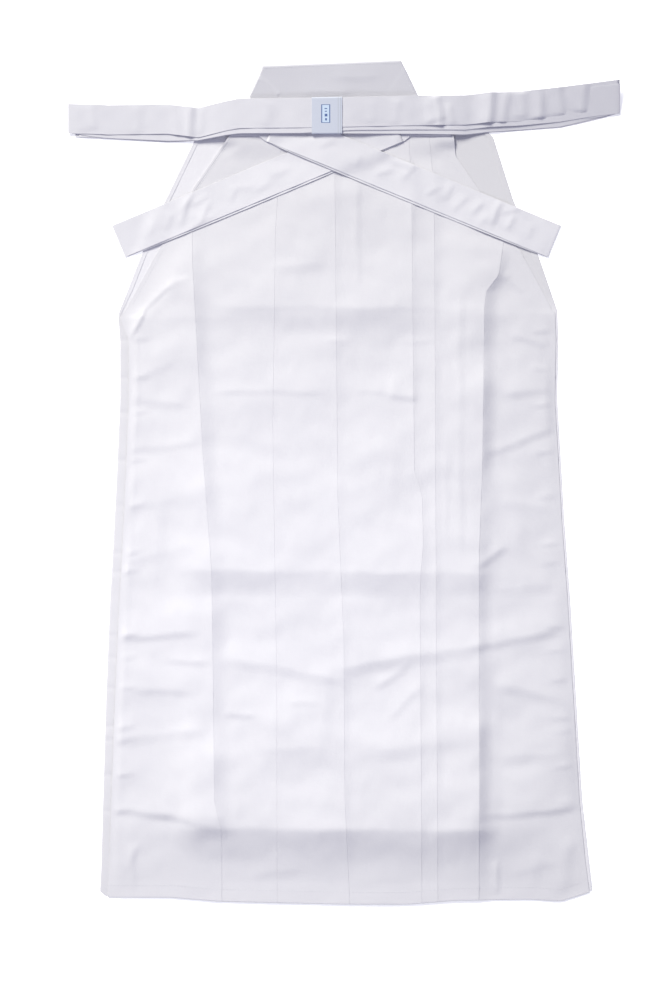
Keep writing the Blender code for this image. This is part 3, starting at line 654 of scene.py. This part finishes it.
def stitch_row(name, lines, cloths):
    """Stitches along lines of points x, y, laid on top of the cloths they go through."""
    shapes = bpy.context.evaluated_depsgraph_get()
    tops = [BVHTree.FromObject(cloth, shapes) for cloth in cloths]
    verts, edges = [], []
    for line in lines:
        start = len(verts)
        for x, y in line:
            hits = [top.ray_cast((x * 0.001, y * 0.001, 0.1), (0, 0, -1))[0] for top in tops]
            found = [hit.z for hit in hits if hit is not None]
            if found:
                verts.append((x * 0.001, y * 0.001, max(found) + THREAD_WIDTH * 0.0001))
        edges += [(k, k + 1) for k in range(start, len(verts) - 1)]
    path = bpy.data.meshes.new(name + "_path")
    path.from_pydata(verts, edges, [])
    row = bpy.data.objects.new(name + "_path", path)
    bpy.context.scene.collection.objects.link(row)
    sewing = row.modifiers.new("sewing", "NODES")
    sewing.node_group = STITCHES
    values = {"Pitch": STITCH_PITCH * 0.001, "Length": STITCH_LENGTH * 0.001,
              "Width": THREAD_WIDTH * 0.001, "Thread": SEWING_THREAD}
    for item in STITCHES.interface.items_tree:
        if item.name in values:
            sewing[item.identifier] = values[item.name]
    made = bpy.data.meshes.new_from_object(row.evaluated_get(bpy.context.evaluated_depsgraph_get()))
    made.name = name
    bpy.data.objects.remove(row)
    return add_piece(name, made)


hem_x = np.arange(-280.0, 286.0, 2.0)
hem_lines = [[(x, between(HEM_LINE, x) + HEM_DEPTH) for x in hem_x[hem_x < 2]],
             [(x, between(HEM_LINE, x) + HEM_DEPTH) for x in hem_x[hem_x > 8]]]
vent_y = np.arange(214.0, 402.0, 2.0)
vent_lines = [[(between(VENT_LEFT, y) + TURN_DEPTH, y) for y in vent_y],
              [(between(VENT_RIGHT, y) - TURN_DEPTH, y) for y in vent_y]]
stitch_row("front_stitches", hem_lines + vent_lines, [front_left, front_right])

# Waistband. A band of the tie cloth folded over the top edge of the pleated front and sewn through
# all its layers. The stack of front ties covers nearly all of it.
BAND_BOTTOM = 414.0
BAND_TOP = 450.0
BAND_LEFT = -138.0     # ends of its lower edge
BAND_RIGHT = 130.0
BAND_SLANT = (24.0, 22.0)     # by how much its upper edge is shorter at each end
BAND_LOW_Z = 2.95
BAND_HIGH_Z = 4.6
TIE_COTTON = cotton("tie_cotton", (0.738, 0.733, 0.785), thread=0.0006, slub=0.6, depth=0.0001)


def waistband():
    r = (BAND_HIGH_Z - BAND_LOW_Z) / 2
    middle = (BAND_HIGH_Z + BAND_LOW_Z) / 2
    section = [(y, BAND_LOW_Z) for y in np.linspace(BAND_BOTTOM, BAND_TOP - r - 1.2, 12)]
    for angle in np.linspace(-75, 75, 11):
        a = math.radians(angle)
        section.append((BAND_TOP - r - 0.5 + r * math.cos(a), middle + r * math.sin(a)))
    section += [(y, BAND_HIGH_Z) for y in np.linspace(BAND_TOP - r - 1.2, BAND_BOTTOM, 12)]
    out = []
    for y, z in section:
        t = (y - BAND_BOTTOM) / (BAND_TOP - BAND_BOTTOM)
        x = np.linspace(BAND_LEFT + BAND_SLANT[0] * t, BAND_RIGHT - BAND_SLANT[1] * t, 70)
        out.append(np.stack([x, np.full_like(x, y), z + 0.1 * np.sin(x / 7.0) * (z > middle)], axis=1))
    return out


band = cloth_piece("waistband_cloth", waistband(), 0.5, TIE_COTTON, "waistband")

# Back board. A stiff board in the shape of a trapezoid, its inner face up, covered in white cotton
# that is drawn over the edges and folded in at the two lower corners. The back ties grow out of it.
BOARD_WALL = 1.3
BOARD_RISE = 3.0       # how much higher its top edge lies than its foot
BOARD_FOOT = 425.3
BOARD_REACH = 81.0
BOARD_TOP_LEFT = 499.2
BOARD_TOP_RIGHT = 506.0
BOARD_LEFT = [(425.3, -128.0), (459.6, -116.4), (485.0, -104.5), (499.0, -98.6), (507.0, -98.0)]
BOARD_RIGHT = [(425.3, 101.0), (462.0, 88.8), (488.4, 75.6), (498.0, 70.5), (507.0, 66.0)]
# painted shade: the board's white cotton is painted darker for the shade its tilted face lies in
BOARD_COTTON_PAINTED_SHADE = cotton("board_cotton", (0.632, 0.629, 0.685), thread=0.0006, slub=0.5)
BOARD_FOLDS = [
    (-103, 487, -78, 463, 0.5, 1.6, 4, 0.05),
    (82, 482, 92, 460, 0.5, 3, 2, 0.1),
    (-60, 468, 20, 470, 0.5, 18, 12, 0.3),
    (-20, 486, 52, 488, 0.35, 14, 9, 0.3),
]


def board_mesh():
    """Closed shell: top face with its folds, rounded edges, plain underside."""
    n, m = 150, 56
    s = np.linspace(0, 1, n)[None, :]
    t = np.linspace(0, 1, m)[:, None]
    up_the_side = BOARD_FOOT + (503.0 - BOARD_FOOT) * t
    left, right = between(BOARD_LEFT, up_the_side), between(BOARD_RIGHT, up_the_side)
    x = left + (right - left) * s
    y = BOARD_FOOT + (BOARD_TOP_LEFT + (BOARD_TOP_RIGHT - BOARD_TOP_LEFT) * s - BOARD_FOOT) * t
    inset = np.minimum(np.minimum(s, 1 - s) * 200, np.minimum(t, 1 - t) * BOARD_REACH)
    round_off = np.sqrt(np.clip(1 - (1 - np.clip(inset / 1.6, 0, 1)) ** 2, 0, 1))
    rise = BOARD_RISE * (y - BOARD_FOOT) / BOARD_REACH
    crown = 0.3 * np.sin(np.pi * t) * np.sin(np.pi * s)
    # the cloth is folded in over the lower corners, in two flaps that end on slanting lines
    left_flap = ease(((x + 103) * -0.6925 - (y - 487) * 0.7214) / 1.4) * (x < 0)
    right_flap = ease((-(x - 63) * -0.8437 + (y - 484) * -0.5369) / 1.4) * (x > 0)
    top = rise + BOARD_WALL - 0.9 * (1 - round_off) + crown + 0.45 * left_flap + 0.12 * right_flap
    top += relief(BOARD_FOLDS, x, y) * np.clip(inset / 6, 0, 1)
    bottom = rise + 0.35 * (1 - round_off) + 0.02
    verts = np.array([np.stack([x, y, z], axis=2) for z in (top, bottom)]).reshape(-1, 3) * 0.001
    upper, lower = np.arange(2 * m * n).reshape(2, m, n)

    def quads(at):
        return np.stack([at[:-1, :-1], at[:-1, 1:], at[1:, 1:], at[1:, :-1]], axis=-1).reshape(-1, 4)

    ring = np.concatenate([upper[0, :-1], upper[:-1, -1], upper[-1, :0:-1], upper[:0:-1, 0]])
    onward = np.roll(ring, -1)
    rim = np.stack([onward, ring, ring + m * n, onward + m * n], axis=1)
    faces = np.concatenate([quads(upper), quads(lower)[:, [0, 3, 2, 1]], rim])
    mesh = bpy.data.meshes.new("back_board_cloth")
    mesh.from_pydata(verts.tolist(), [], faces.tolist())
    mesh.update()
    add_cut(mesh, verts[:, :2])
    mesh.materials.append(BOARD_COTTON_PAINTED_SHADE)
    return mesh


board = add_piece("back_board_cloth", board_mesh(), "back_board")
board_y = np.arange(428.0, 496.0, 2.0)
board_lines = [[(between(BOARD_LEFT, y) + 3.5, y) for y in board_y],
               [(x, 496.0 + 6.8 * (x + 95.0) / 162.0) for x in np.arange(-94.0, 66.0, 2.0)],
               [(between(BOARD_RIGHT, y) - 3.5, y) for y in board_y]]
stitch_row("board_stitches", board_lines, [board])

# Back ties. Two flat ties of doubled cotton grow from the lower corners of the back board, come
# over the waistband and cross over the front, each folded back on itself at its far end.
BACK_TIE_WIDTH = 41.0
STRAP_WALL = 0.32
STRAP_LAYER = 0.44
STRAP_LIFT = 0.12      # over what it lies on
ROOT_FROM = 461.0      # where it leaves the board
ROOT_TO = 449.0        # where it starts to turn and spread
ROOT_HALF = 9.5        # half its width there
TIE_OVER_FAR = (252.6, 288.6)
TIE_OVER_NEAR = (-88.0, 428.3)
TIE_UNDER_FAR = (-270.4, 288.6)
TIE_UNDER_NEAR = (66.0, 428.3)
PILE_STEP = 2.5
PILE_X = np.arange(-345.0, 346.0, PILE_STEP)
PILE_Y = np.arange(250.0, 515.0, PILE_STEP)


def garment_pile():
    """Height of the garment's top over the area where the ties lie."""
    pile = np.zeros((len(PILE_Y), len(PILE_X)))
    for j, y in enumerate(PILE_Y):
        x = PILE_X
        if y < BACK_TOP + 2:
            on_back = (x > between(OUTER_LEFT, y) - 1) & (x < between(OUTER_RIGHT, y) + 1)
            pile[j] = np.where(on_back, 1.3, pile[j])
        if y < FRONT_TOP + 1:
            right = max(side_right(y), float(between(PLEAT_OUTER_RIGHT, y)))
            on_front = (x > side_left(y) - 1) & (x < right + 1)
            pile[j] = np.where(on_front, front_bed(x, y) + 2 * PLY + CLOTH / 2, pile[j])
        if BAND_BOTTOM - 1 < y < BAND_TOP + 1:
            t = (y - BAND_BOTTOM) / (BAND_TOP - BAND_BOTTOM)
            left, right = BAND_LEFT + BAND_SLANT[0] * t, BAND_RIGHT - BAND_SLANT[1] * t
            on_band = (x > left - 1) & (x < right + 1)
            pile[j] = np.where(on_band, BAND_HIGH_Z + 0.35, pile[j])
        if 424 < y < 506:
            on_board = (x > between(BOARD_LEFT, y) - 1) & (x < between(BOARD_RIGHT, y) + 1)
            top = BOARD_RISE * (y - BOARD_FOOT) / BOARD_REACH + BOARD_WALL + 0.6
            pile[j] = np.where(on_board, np.maximum(top, pile[j]), pile[j])
    return pile


def settled(pile, reach):
    """Stiff cloth on a pile: the highest point within reach, then the mean of the neighbourhood."""
    for half, what in ((reach, np.max), (reach, np.mean), (max(1, reach // 2), np.mean)):
        for axis in (0, 1):
            pad = [(half, half) if a == axis else (0, 0) for a in (0, 1)]
            wide = np.pad(pile, pad, mode="edge")
            size = pile.shape[axis]
            shifted = [np.take(wide, range(k, k + size), axis=axis) for k in range(2 * half + 1)]
            pile = what(np.array(shifted), axis=0)
    return pile


def height_at(pile, x, y):
    """Height of a pile at points between the knots of its grid."""
    u = np.clip((np.asarray(x) - PILE_X[0]) / PILE_STEP, 0, len(PILE_X) - 1.001)
    v = np.clip((np.asarray(y) - PILE_Y[0]) / PILE_STEP, 0, len(PILE_Y) - 1.001)
    i, j = u.astype(int), v.astype(int)
    fu, fv = u - i, v - j
    low = pile[j, i] * (1 - fu) + pile[j, i + 1] * fu
    high = pile[j + 1, i] * (1 - fu) + pile[j + 1, i + 1] * fu
    return low * (1 - fv) + high * fv


class CrossedTie:
    """Centre line of a back tie lying on a pile, and the pile with the tie on it."""

    def __init__(self, near, far, pile, corner_x):
        self.near, self.far, self.corner_x = np.array(near), np.array(far), corner_x
        self.length = float(np.linalg.norm(self.far - self.near))
        self.along = (self.far - self.near) / self.length
        self.across = np.array((-self.along[1], self.along[0]))
        if self.across[1] < 0:
            self.across = -self.across
        self.bed = settled(pile, 2)
        x, y = np.meshgrid(PILE_X, PILE_Y)
        s = (x - self.near[0]) * self.along[0] + (y - self.near[1]) * self.along[1]
        w = (x - self.near[0]) * self.across[0] + (y - self.near[1]) * self.across[1]
        covered = (s > -6) & (s < self.length + 1) & (np.abs(w) < BACK_TIE_WIDTH / 2 + 1.5)
        rooted = (np.abs(x - corner_x) < 14) & (y > 440) & (y < 463)
        top = self.bed + STRAP_LIFT + STRAP_WALL + STRAP_LAYER * covered + 0.8 * covered
        self.pile = np.where(covered | rooted, np.maximum(pile, top), pile)

    def low(self, x, y):
        return float(height_at(self.bed, x, y)) + STRAP_LIFT + STRAP_WALL / 2

    def row(self, c, across, half, rise=0.0, shown=0.0):
        return (np.array((*c, self.low(*c) + rise)), across, half, shown)

    def stations(self, side):
        """Rows of centre, way across, half width and how far the row is on the shown layer."""
        out = []
        level_way = np.array((side, 0.0, 0.0))
        for y in np.arange(ROOT_FROM, ROOT_TO, -1.5):
            out.append(self.row((self.corner_x, y), level_way, ROOT_HALF - 0.3))
        start = np.array((self.corner_x, ROOT_TO))
        full = math.atan2(abs(self.across[1]), abs(self.across[0]))
        for t in np.linspace(0, 1, 12):
            c = start + (self.near - start) * t
            way = np.array((side * math.cos(full * t), math.sin(full * t), 0.0))
            half = ROOT_HALF + (BACK_TIE_WIDTH / 2 - ROOT_HALF) * t
            out.append(self.row(c, way, half))
        far = self.length - STRAP_WALL / 2 - STRAP_LAYER / 2
        steps = np.linspace(0, far, int(far / 3.0))[1:]
        across = np.array((*self.across, 0.0))
        half = BACK_TIE_WIDTH / 2
        for s in steps:
            sag = 2.8 * math.sqrt(max(0.0, math.sin(math.pi * s / far)))
            c = self.near + self.along * s - self.across * sag
            out.append(self.row(c, across, half))
        for angle in (-60, -30, 0, 30, 60):
            a = math.radians(angle)
            c = self.near + self.along * (far + STRAP_LAYER / 2 * math.cos(a))
            out.append(self.row(c, across, half, STRAP_LAYER / 2 * (1 + math.sin(a))))
        for s in steps[::-1]:
            c = self.near + self.along * s
            out.append(self.row(c, across, half, STRAP_LAYER, float(ease((far - s) / 12))))
        return out


TIE_SPOTS = (-1, -0.985, -0.96, -0.88, -0.74, -0.6, -0.45, -0.3, -0.15,
             0, 0.15, 0.3, 0.45, 0.6, 0.74, 0.88, 0.96, 0.985, 1)     # columns across a tie


def tie_piece(name, stations, wall, bumps, mat, node, bed=None):
    """A flat tube along the stations, with rounded edges, draped on its bed.

    Bumps lift the shown layer only.
    """
    centre = np.array([s[0] for s in stations])
    across = np.array([s[1] for s in stations])
    half = np.array([s[2] for s in stations])
    shown = np.array([s[3] for s in stations])
    ahead = np.gradient(centre, axis=0)
    ahead /= np.linalg.norm(ahead, axis=1)[:, None]
    up = np.cross(ahead, across)
    up /= np.linalg.norm(up, axis=1)[:, None]
    r = wall / 2
    ring = [(w, 0.0, 1.0) for w in TIE_SPOTS]
    ring += [(1.0, math.cos(math.radians(a)), math.sin(math.radians(a))) for a in (45, 0, -45)]
    ring += [(w, 0.0, -1.0) for w in TIE_SPOTS[::-1]]
    ring += [(-1.0, -math.cos(math.radians(a)), math.sin(math.radians(a))) for a in (-45, 0, 45)]
    count = len(ring)
    verts = np.zeros((len(stations), count, 3))
    for k, (w, out_by, h) in enumerate(ring):
        reach = (half - r) * w + r * out_by
        verts[:, k] = centre + across * reach[:, None] + up * (r * h)
    if bed is not None:
        verts[..., 2] += height_at(bed, verts[..., 0], verts[..., 1])
        verts[..., 2] -= height_at(bed, centre[:, 0], centre[:, 1])[:, None]
    x, y = verts[..., 0], verts[..., 1]
    lift = np.clip(relief(bumps, x, y), 0, None) if bumps else 0.0
    soft = 0.10 * np.sin(x / 5.3 + 0.7 * np.sin(y / 4.0)) + 0.09 * np.sin((x + y) / 9.0) + 0.2
    verts[..., 2] += (lift + soft) * shown[:, None]
    faces = []
    for j in range(len(stations) - 1):
        for k in range(count):
            a, b = j * count + k, j * count + (k + 1) % count
            faces.append((a, b, b + count, a + count))
    last = (len(stations) - 1) * count
    faces.append(tuple(range(count))[::-1])
    faces.append(tuple(range(last, last + count)))
    mesh = bpy.data.meshes.new(name)
    mesh.from_pydata((verts.reshape(-1, 3) * 0.001).tolist(), [], faces)
    mesh.update()
    girth = np.array([w * half.max() + out_by for w, out_by, h in ring])
    along = np.concatenate([[0], np.cumsum(np.linalg.norm(np.diff(centre, axis=0), axis=1))])
    add_cut(mesh, np.stack(np.broadcast_arrays(girth, along[:, None]), axis=-1).reshape(-1, 2) * 0.001)
    bm = bmesh.new()
    bm.from_mesh(mesh)
    bmesh.ops.recalc_face_normals(bm, faces=bm.faces)
    bm.to_mesh(mesh)
    bm.free()
    mesh.materials.append(mat)
    return add_piece(name, mesh, node)


# Puckers of the ties, with the same columns as the creases of the front.
UNDER_BUMPS = [
    (-196, 304, -184, 346, 1.2, 7, 5, 0.3), (-172, 308, -160, 340, 1.0, 6, 5, 0.3),
    (-186, 330, -160, 344, 0.8, 5, 4, 0.3), (-214, 300, -206, 326, 0.6, 8, 6, 0.3),
    (-204, 318, -176, 352, 0.6, 5, 4, 0.3), (-140, 334, -128, 358, 0.6, 9, 7, 0.3),
    (-190, 300, -150, 322, 0.7, 5, 4, 0.3), (-112, 344, -84, 362, 0.5, 8, 6, 0.3),
    (-90, 366, -60, 376, 0.4, 7, 5, 0.3), (-240, 290, -226, 312, 0.4, 9, 7, 0.3),
    (-132, 352, -104, 356, 0.4, 6, 5, 0.3), (60, 395, 66, 428, 0.6, 7, 5, 0.3),
]
OVER_BUMPS = [
    (176, 304, 190, 340, 1.2, 7, 5, 0.3), (196, 300, 206, 324, 0.9, 6, 5, 0.3),
    (184, 322, 214, 328, 0.7, 5, 4, 0.3), (152, 320, 168, 338, 0.8, 7, 5, 0.3),
    (120, 336, 128, 360, 0.9, 8, 6, 0.3), (94, 344, 118, 356, 0.6, 6, 5, 0.3),
    (66, 360, 90, 382, 0.8, 8, 6, 0.3), (34, 366, 62, 376, 0.6, 7, 5, 0.3),
    (14, 376, 20, 394, 0.5, 8, 6, 0.3), (128, 322, 150, 346, 0.6, 7, 5, 0.3),
    (50, 388, 92, 376, 0.6, 7, 5, 0.3), (218, 292, 226, 312, 0.6, 8, 6, 0.3),
    (-34, 400, -6, 410, 0.5, 8, 6, 0.3), (160, 306, 176, 322, 0.6, 6, 5, 0.3),
]
under_tie = CrossedTie(TIE_UNDER_NEAR, TIE_UNDER_FAR, garment_pile(), 95.0)
over_tie = CrossedTie(TIE_OVER_NEAR, TIE_OVER_FAR, under_tie.pile, -121.0)
under_cloth = tie_piece("back_tie_right_cloth", under_tie.stations(-1), STRAP_WALL, UNDER_BUMPS,
                        TIE_COTTON, "back_tie_right", under_tie.bed)
over_cloth = tie_piece("back_tie_left_cloth", over_tie.stations(1), STRAP_WALL, OVER_BUMPS,
                       TIE_COTTON, "back_tie_left", over_tie.bed)

# Front ties. Two long flat ties carry the waistband on to each side. They are folded back and forth
# into one stack across the waist, the left one first and the right one round it and on top.
FRONT_TIE_WIDTH = 35.5
# painted shade: the same cotton as the other ties, painted a little darker for the shade the stack lies in
FRONT_TIE_COTTON_PAINTED_SHADE = cotton("front_tie_cotton_painted_shade", (0.710, 0.706, 0.762), thread=0.0006, slub=0.6,
                          depth=0.0001)
TIE_WALL = 0.32
TIE_LAYER = 0.44
STACK_END = 331.0      # from the middle to either end of the stack
# How far the stack leans back, in radians, from its left end to its right end.
STACK_ROLL = [(-332, 0.0), (-175, 0.0), (0, 0.04), (140, 0.04), (200, 0.12), (332, 0.17)]
# How far each ply lies from the lowest place towards the highest one, at the left and at the right.
PLIES_LEFT = (0.0, 0.05, 0.10, 0.16, 1.0)
PLIES_RIGHT = (0.0, 0.08, 0.46, 0.54, 1.0)
# Lower edge of the lowest ply and of the top one: x, y, y.
STACK_EDGES = [(-332, 414.0, 421.5), (-283, 411.6, 416.4), (-212, 407.5, 417.5), (-175, 409.0, 412.8),
               (-140, 414.8, 421.0), (-125, 416.4, 423.6), (-41, 416.4, 424.0), (0, 416.4, 424.8),
               (91, 416.0, 427.0), (145, 415.2, 427.7), (173, 418.8, 431.0), (208, 421.0, 432.0),
               (259, 424.8, 437.5), (332, 440.4, 447.0)]
STACK_BUMPS = [
    (-184, 408, -182, 460, 1.8, 7, 5, 0.06), (-198, 412, -206, 456, 0.9, 12, 9, 0.1),
    (-172, 414, -168, 452, 0.6, 7, 6, 0.2), (118, 420, 110, 464, 1.7, 9, 5, 0.1),
    (104, 426, 100, 458, 0.9, 8, 6, 0.2), (130, 424, 126, 456, 0.9, 7, 5, 0.3),
    (96, 430, 130, 440, 0.7, 6, 5, 0.3), (174, 424, 178, 472, 2.2, 12, 8, 0.06),
    (190, 428, 197, 470, 1.3, 10, 7, 0.1), (216, 436, 214, 468, 0.9, 12, 8, 0.1),
    (236, 434, 232, 474, 1.6, 12, 8, 0.1), (260, 438, 257, 478, 1.4, 12, 8, 0.1),
    (286, 442, 290, 480, 1.1, 12, 8, 0.1), (-92, 424, -88, 458, 0.5, 12, 9, 0.2),
    (60, 426, 66, 460, 0.6, 12, 9, 0.2), (-300, 420, -304, 456, 0.7, 14, 10, 0.2),
    (-250, 414, -246, 456, 0.6, 14, 10, 0.2), (30, 428, 34, 458, 0.4, 12, 9, 0.2),
]


class TieStack:
    """Lengths of the front ties one above another; level 0 leaves the waistband, 4 is on top."""

    def __init__(self, pile):
        self.grid = np.arange(-336, 337, 8.0)
        self.support = [float(height_at(pile, x, np.arange(412.0, 463.0, 2.5)).max()) for x in self.grid]
        self.root_left, self.root_right = BAND_LEFT - 1.5, BAND_RIGHT + 1.5
        raw = []
        for x, held_up in zip(self.grid, self.support):
            over = held_up + 0.4 + TIE_WALL / 2 + FRONT_TIE_WIDTH / 2 * float(between(STACK_ROLL, x))
            if x < self.root_left:
                over = max(over if x > -150 else 0.0, self.first(x) + TIE_LAYER)
            if x > self.root_right:
                over = max(over if x < 143 else 0.0, self.first(x) + TIE_LAYER)
            raw.append(over)
        high = [max(raw[max(0, i - 1):i + 2]) for i in range(len(raw))]
        self.crossing = [float(np.mean(high[max(0, i - 1):i + 2])) for i in range(len(raw))]

    def first(self, x):
        out = (self.root_left - x) if x < 0 else (x - self.root_right)
        rest = 1.0 * (1 - float(ease((abs(x) - 180) / 20))) + TIE_WALL / 2
        rest += FRONT_TIE_WIDTH / 2 * float(between(STACK_ROLL, x))
        t = float(ease(out / 34))
        return (BAND_LOW_Z + BAND_HIGH_Z) / 2 * (1 - t) + rest * t

    def level(self, x, level):
        loft = 1.0 * float(ease((x - 150) / 24) * (1 - ease((x - 176) / 150))) if level > 2 else 0.0
        return float(np.interp(x, self.grid, self.crossing)) + (level - 1) * TIE_LAYER + loft

    def station(self, x, z, level, top=0.0):
        low = between(STACK_EDGES, x)
        high = between([(r[0], r[2]) for r in STACK_EDGES], x)
        roll = float(between(STACK_ROLL, x))
        t = float(ease((x + 60.0) / 80.0))
        left, right = (np.interp(level, range(5), plies) for plies in (PLIES_LEFT, PLIES_RIGHT))
        y = low + (high - low) * ((1 - t) * left + t * right) + FRONT_TIE_WIDTH / 2
        across = np.array((0.0, math.cos(roll), math.sin(roll)))
        return (np.array((x, y, z)), across, FRONT_TIE_WIDTH / 2, top)

    def turn(self, x, side, low_z, high_z, level):
        r = (high_z - low_z) / 2
        out = []
        for angle in np.linspace(-66, 66, 7):
            a = math.radians(angle)
            out.append(self.station(x + side * r * math.cos(a), low_z + r * (1 + math.sin(a)), level))
        return out

    def span(self, x_from, x_to, level, start_level, end_level):
        count = int(abs(x_to - x_from) / 3.6)
        out = []
        for x in np.linspace(x_from, x_to, count):
            near_start = 1 - float(ease(abs(x - x_from) / 50))
            near_end = 1 - float(ease(abs(x - x_to) / 50))
            shown = level + (start_level - level) * near_start + (end_level - level) * near_end
            z = self.first(x) if level == 0 else self.level(x, level)
            top = float(ease((abs(x - x_from) - 1) / 10)) if level == 4 else 0.0
            out.append(self.station(x, z, shown, top))
        return out


stack = TieStack(settled(over_tie.pile, 2))
left_stations = stack.span(stack.root_left, -322.0, 0, 0, 0.5)
left_stations += stack.turn(-322.0, -1, stack.first(-322), stack.level(-322, 1), 0.5)
left_stations += stack.span(-322.0, 318.0, 1, 0.5, 1.5)
left_stations += stack.turn(318.0, 1, stack.level(318, 1), stack.level(318, 2), 1.5)
left_stations += stack.span(318.0, -318.0, 2, 1.5, 2)
left_tie = tie_piece("front_tie_left_cloth", left_stations, TIE_WALL, None, FRONT_TIE_COTTON_PAINTED_SHADE,
                     "front_tie_left")
right_end = STACK_END - TIE_WALL / 2 - (stack.level(327, 3) - stack.first(327)) / 2
left_end = -STACK_END + TIE_WALL / 2 + TIE_LAYER / 2
right_stations = stack.span(stack.root_right, right_end, 0, 0, 1.5)
right_stations += stack.turn(right_end, 1, stack.first(right_end), stack.level(right_end, 3), 1.5)
right_stations += stack.span(right_end, left_end, 3, 1.5, 3.5)
right_stations += stack.turn(left_end, -1, stack.level(left_end, 3), stack.level(left_end, 4), 3.5)
right_stations += stack.span(left_end, 330.0, 4, 3.5, 4)
right_tie = tie_piece("front_tie_right_cloth", right_stations, TIE_WALL, STACK_BUMPS,
                      FRONT_TIE_COTTON_PAINTED_SHADE, "front_tie_right")

# Label band. A thin ribbed band of very pale blue, slipped round the stack to hold it. Two fine
# lines run down its right side, and a plain dark frame with bars is printed on it.
LABEL_BLUE = (0.594, 0.630, 0.732)
LABEL_INK = (0.10, 0.16, 0.36)
LABEL_FIELD = (0.60, 0.72, 0.88)
LABEL_LINE = (0.50, 0.53, 0.60)
# Printed marks: middle x, middle y, half width, half height in metres, colour.
LABEL_MARKS = [
    (-0.0043, 0.4390, 0.0004, 0.0230, LABEL_LINE), (-0.0070, 0.4390, 0.0004, 0.0230, LABEL_LINE),
    (-0.0219, 0.4406, 0.0054, 0.0110, LABEL_INK), (-0.0219, 0.4406, 0.0042, 0.0103, LABEL_FIELD),
    (-0.0217, 0.4466, 0.0016, 0.0006, LABEL_INK), (-0.0217, 0.4434, 0.0012, 0.0006, LABEL_INK),
    (-0.0215, 0.4388, 0.0016, 0.0016, LABEL_INK), (-0.0215, 0.4338, 0.0011, 0.0014, LABEL_INK),
]


def label_finish():
    mat, tree = new_finish("label_ribbed")
    place = tree.nodes.new("ShaderNodeTexCoord").outputs["Object"]
    sep = add_node(tree, "ShaderNodeSeparateXYZ", {0: place})
    colour = (*LABEL_BLUE, 1)
    for x, y, half_x, half_y, ink in LABEL_MARKS:
        across = calc(tree, "COMPARE", sep.outputs[0], x, half_x)
        along = calc(tree, "COMPARE", sep.outputs[1], y, half_y)
        mark = {"Factor": calc(tree, "MULTIPLY", across, along), "A": colour, "B": (*ink, 1)}
        colour = add_node(tree, "ShaderNodeMix", mark, data_type="RGBA").outputs["Result"]
    dress_skin(tree, colour, woven(tree, thread=0.0004, slub=0.2)["Height"], strength=0.4,
               distance=0.00006, roughness=0.6, specular=0.35)
    return mat


def label_rows():
    out = []
    for x in np.concatenate([[-38.6], np.linspace(-38.35, -2.45, 18), [-2.2]]):
        middle = stack.station(x, 0, 4)[0][1]
        top = stack.level(x, 4) + TIE_WALL / 2 + 0.6
        roll = float(between(STACK_ROLL, x))
        low = float(stack.station(x, 0, 1)[0][1]) - FRONT_TIE_WIDTH / 2 - 0.5
        high = float(middle) + FRONT_TIE_WIDTH / 2 + 0.5
        section = [(low, -2.6), (low, -1.6), (low + 0.1, -0.7), (low + 0.35, -0.2), (low + 0.9, 0)]
        section += [(y, 0.0) for y in np.linspace(low + 2, high - 2, 14)]
        section += [(high - 0.9, 0), (high - 0.35, -0.2), (high - 0.1, -0.7), (high, -1.6), (high, -2.6)]
        out.append([(x, y, top + z + (y - middle) * roll) for y, z in section])
    return out


label = cloth_piece("label_band_cloth", label_rows(), 0.25, label_finish(), "label_band")

# Surface, light and camera. A plain pale surface, one broad soft light from the upper left and an
# even bright surround, seen from straight above.
FLOOR_HALF = 6.0
FLOOR_Z = -0.0002
floor_mesh = bpy.data.meshes.new("surface")
floor_corners = [(-1, -1), (1, -1), (1, 1), (-1, 1)]
floor_mesh.from_pydata([(x * FLOOR_HALF, y * FLOOR_HALF, FLOOR_Z) for x, y in floor_corners], [],
                       [(0, 1, 2, 3)])
floor = bpy.data.objects.new("surface", floor_mesh)
bpy.context.scene.collection.objects.link(floor)
floor_mat, floor_tree = new_finish("pale_surface")
for socket, value in (("Base Color", (1.0, 1.0, 1.0, 1)), ("Roughness", 1.0), ("Specular IOR Level", 0.0),
                      ("Emission Color", (1.0, 1.0, 1.0, 1)), ("Emission Strength", 0.4)):
    floor_tree.nodes["Principled BSDF"].inputs[socket].default_value = value
floor_mesh.materials.append(floor_mat)

for name, size, power, tint, place in (
        ("key", 5.0, 2900.0, (1.0, 0.985, 0.86), (-5.9, 10.7, 6.8)),
        ("overhead", 0.35, 1.24, (0.98, 0.975, 1.0), (-0.10, -0.16, 0.60))):
    lamp_data = bpy.data.lights.new(name, "AREA")
    lamp_data.shape = "DISK"
    lamp_data.size = size
    lamp_data.energy = power
    lamp_data.color = tint
    lamp = bpy.data.objects.new(name, lamp_data)
    lamp.location = place
    if name == "key":
        tilt = math.atan2(math.hypot(place[0], place[1]), place[2])
        lamp.rotation_euler = (tilt, 0.0, math.atan2(-place[1], -place[0]) - math.pi / 2)
    bpy.context.scene.collection.objects.link(lamp)
world = bpy.data.worlds.new("surround")
world.use_nodes = True
world.node_tree.nodes["Background"].inputs["Color"].default_value = (0.72, 0.73, 1.0, 1)
world.node_tree.nodes["Background"].inputs["Strength"].default_value = 0.36
bpy.context.scene.world = world
bpy.context.scene.view_settings.view_transform = "Standard"

camera_data = bpy.data.cameras.new("camera")
camera_data.lens = 108.0
camera_data.sensor_width = 36.0
camera_data.clip_end = 20.0
camera = bpy.data.objects.new("camera", camera_data)
camera.location = (-0.0126, -0.0216, 3.6)
camera.rotation_euler = (0.0, 0.0, 0.0)
bpy.context.scene.collection.objects.link(camera)
bpy.context.scene.camera = camera
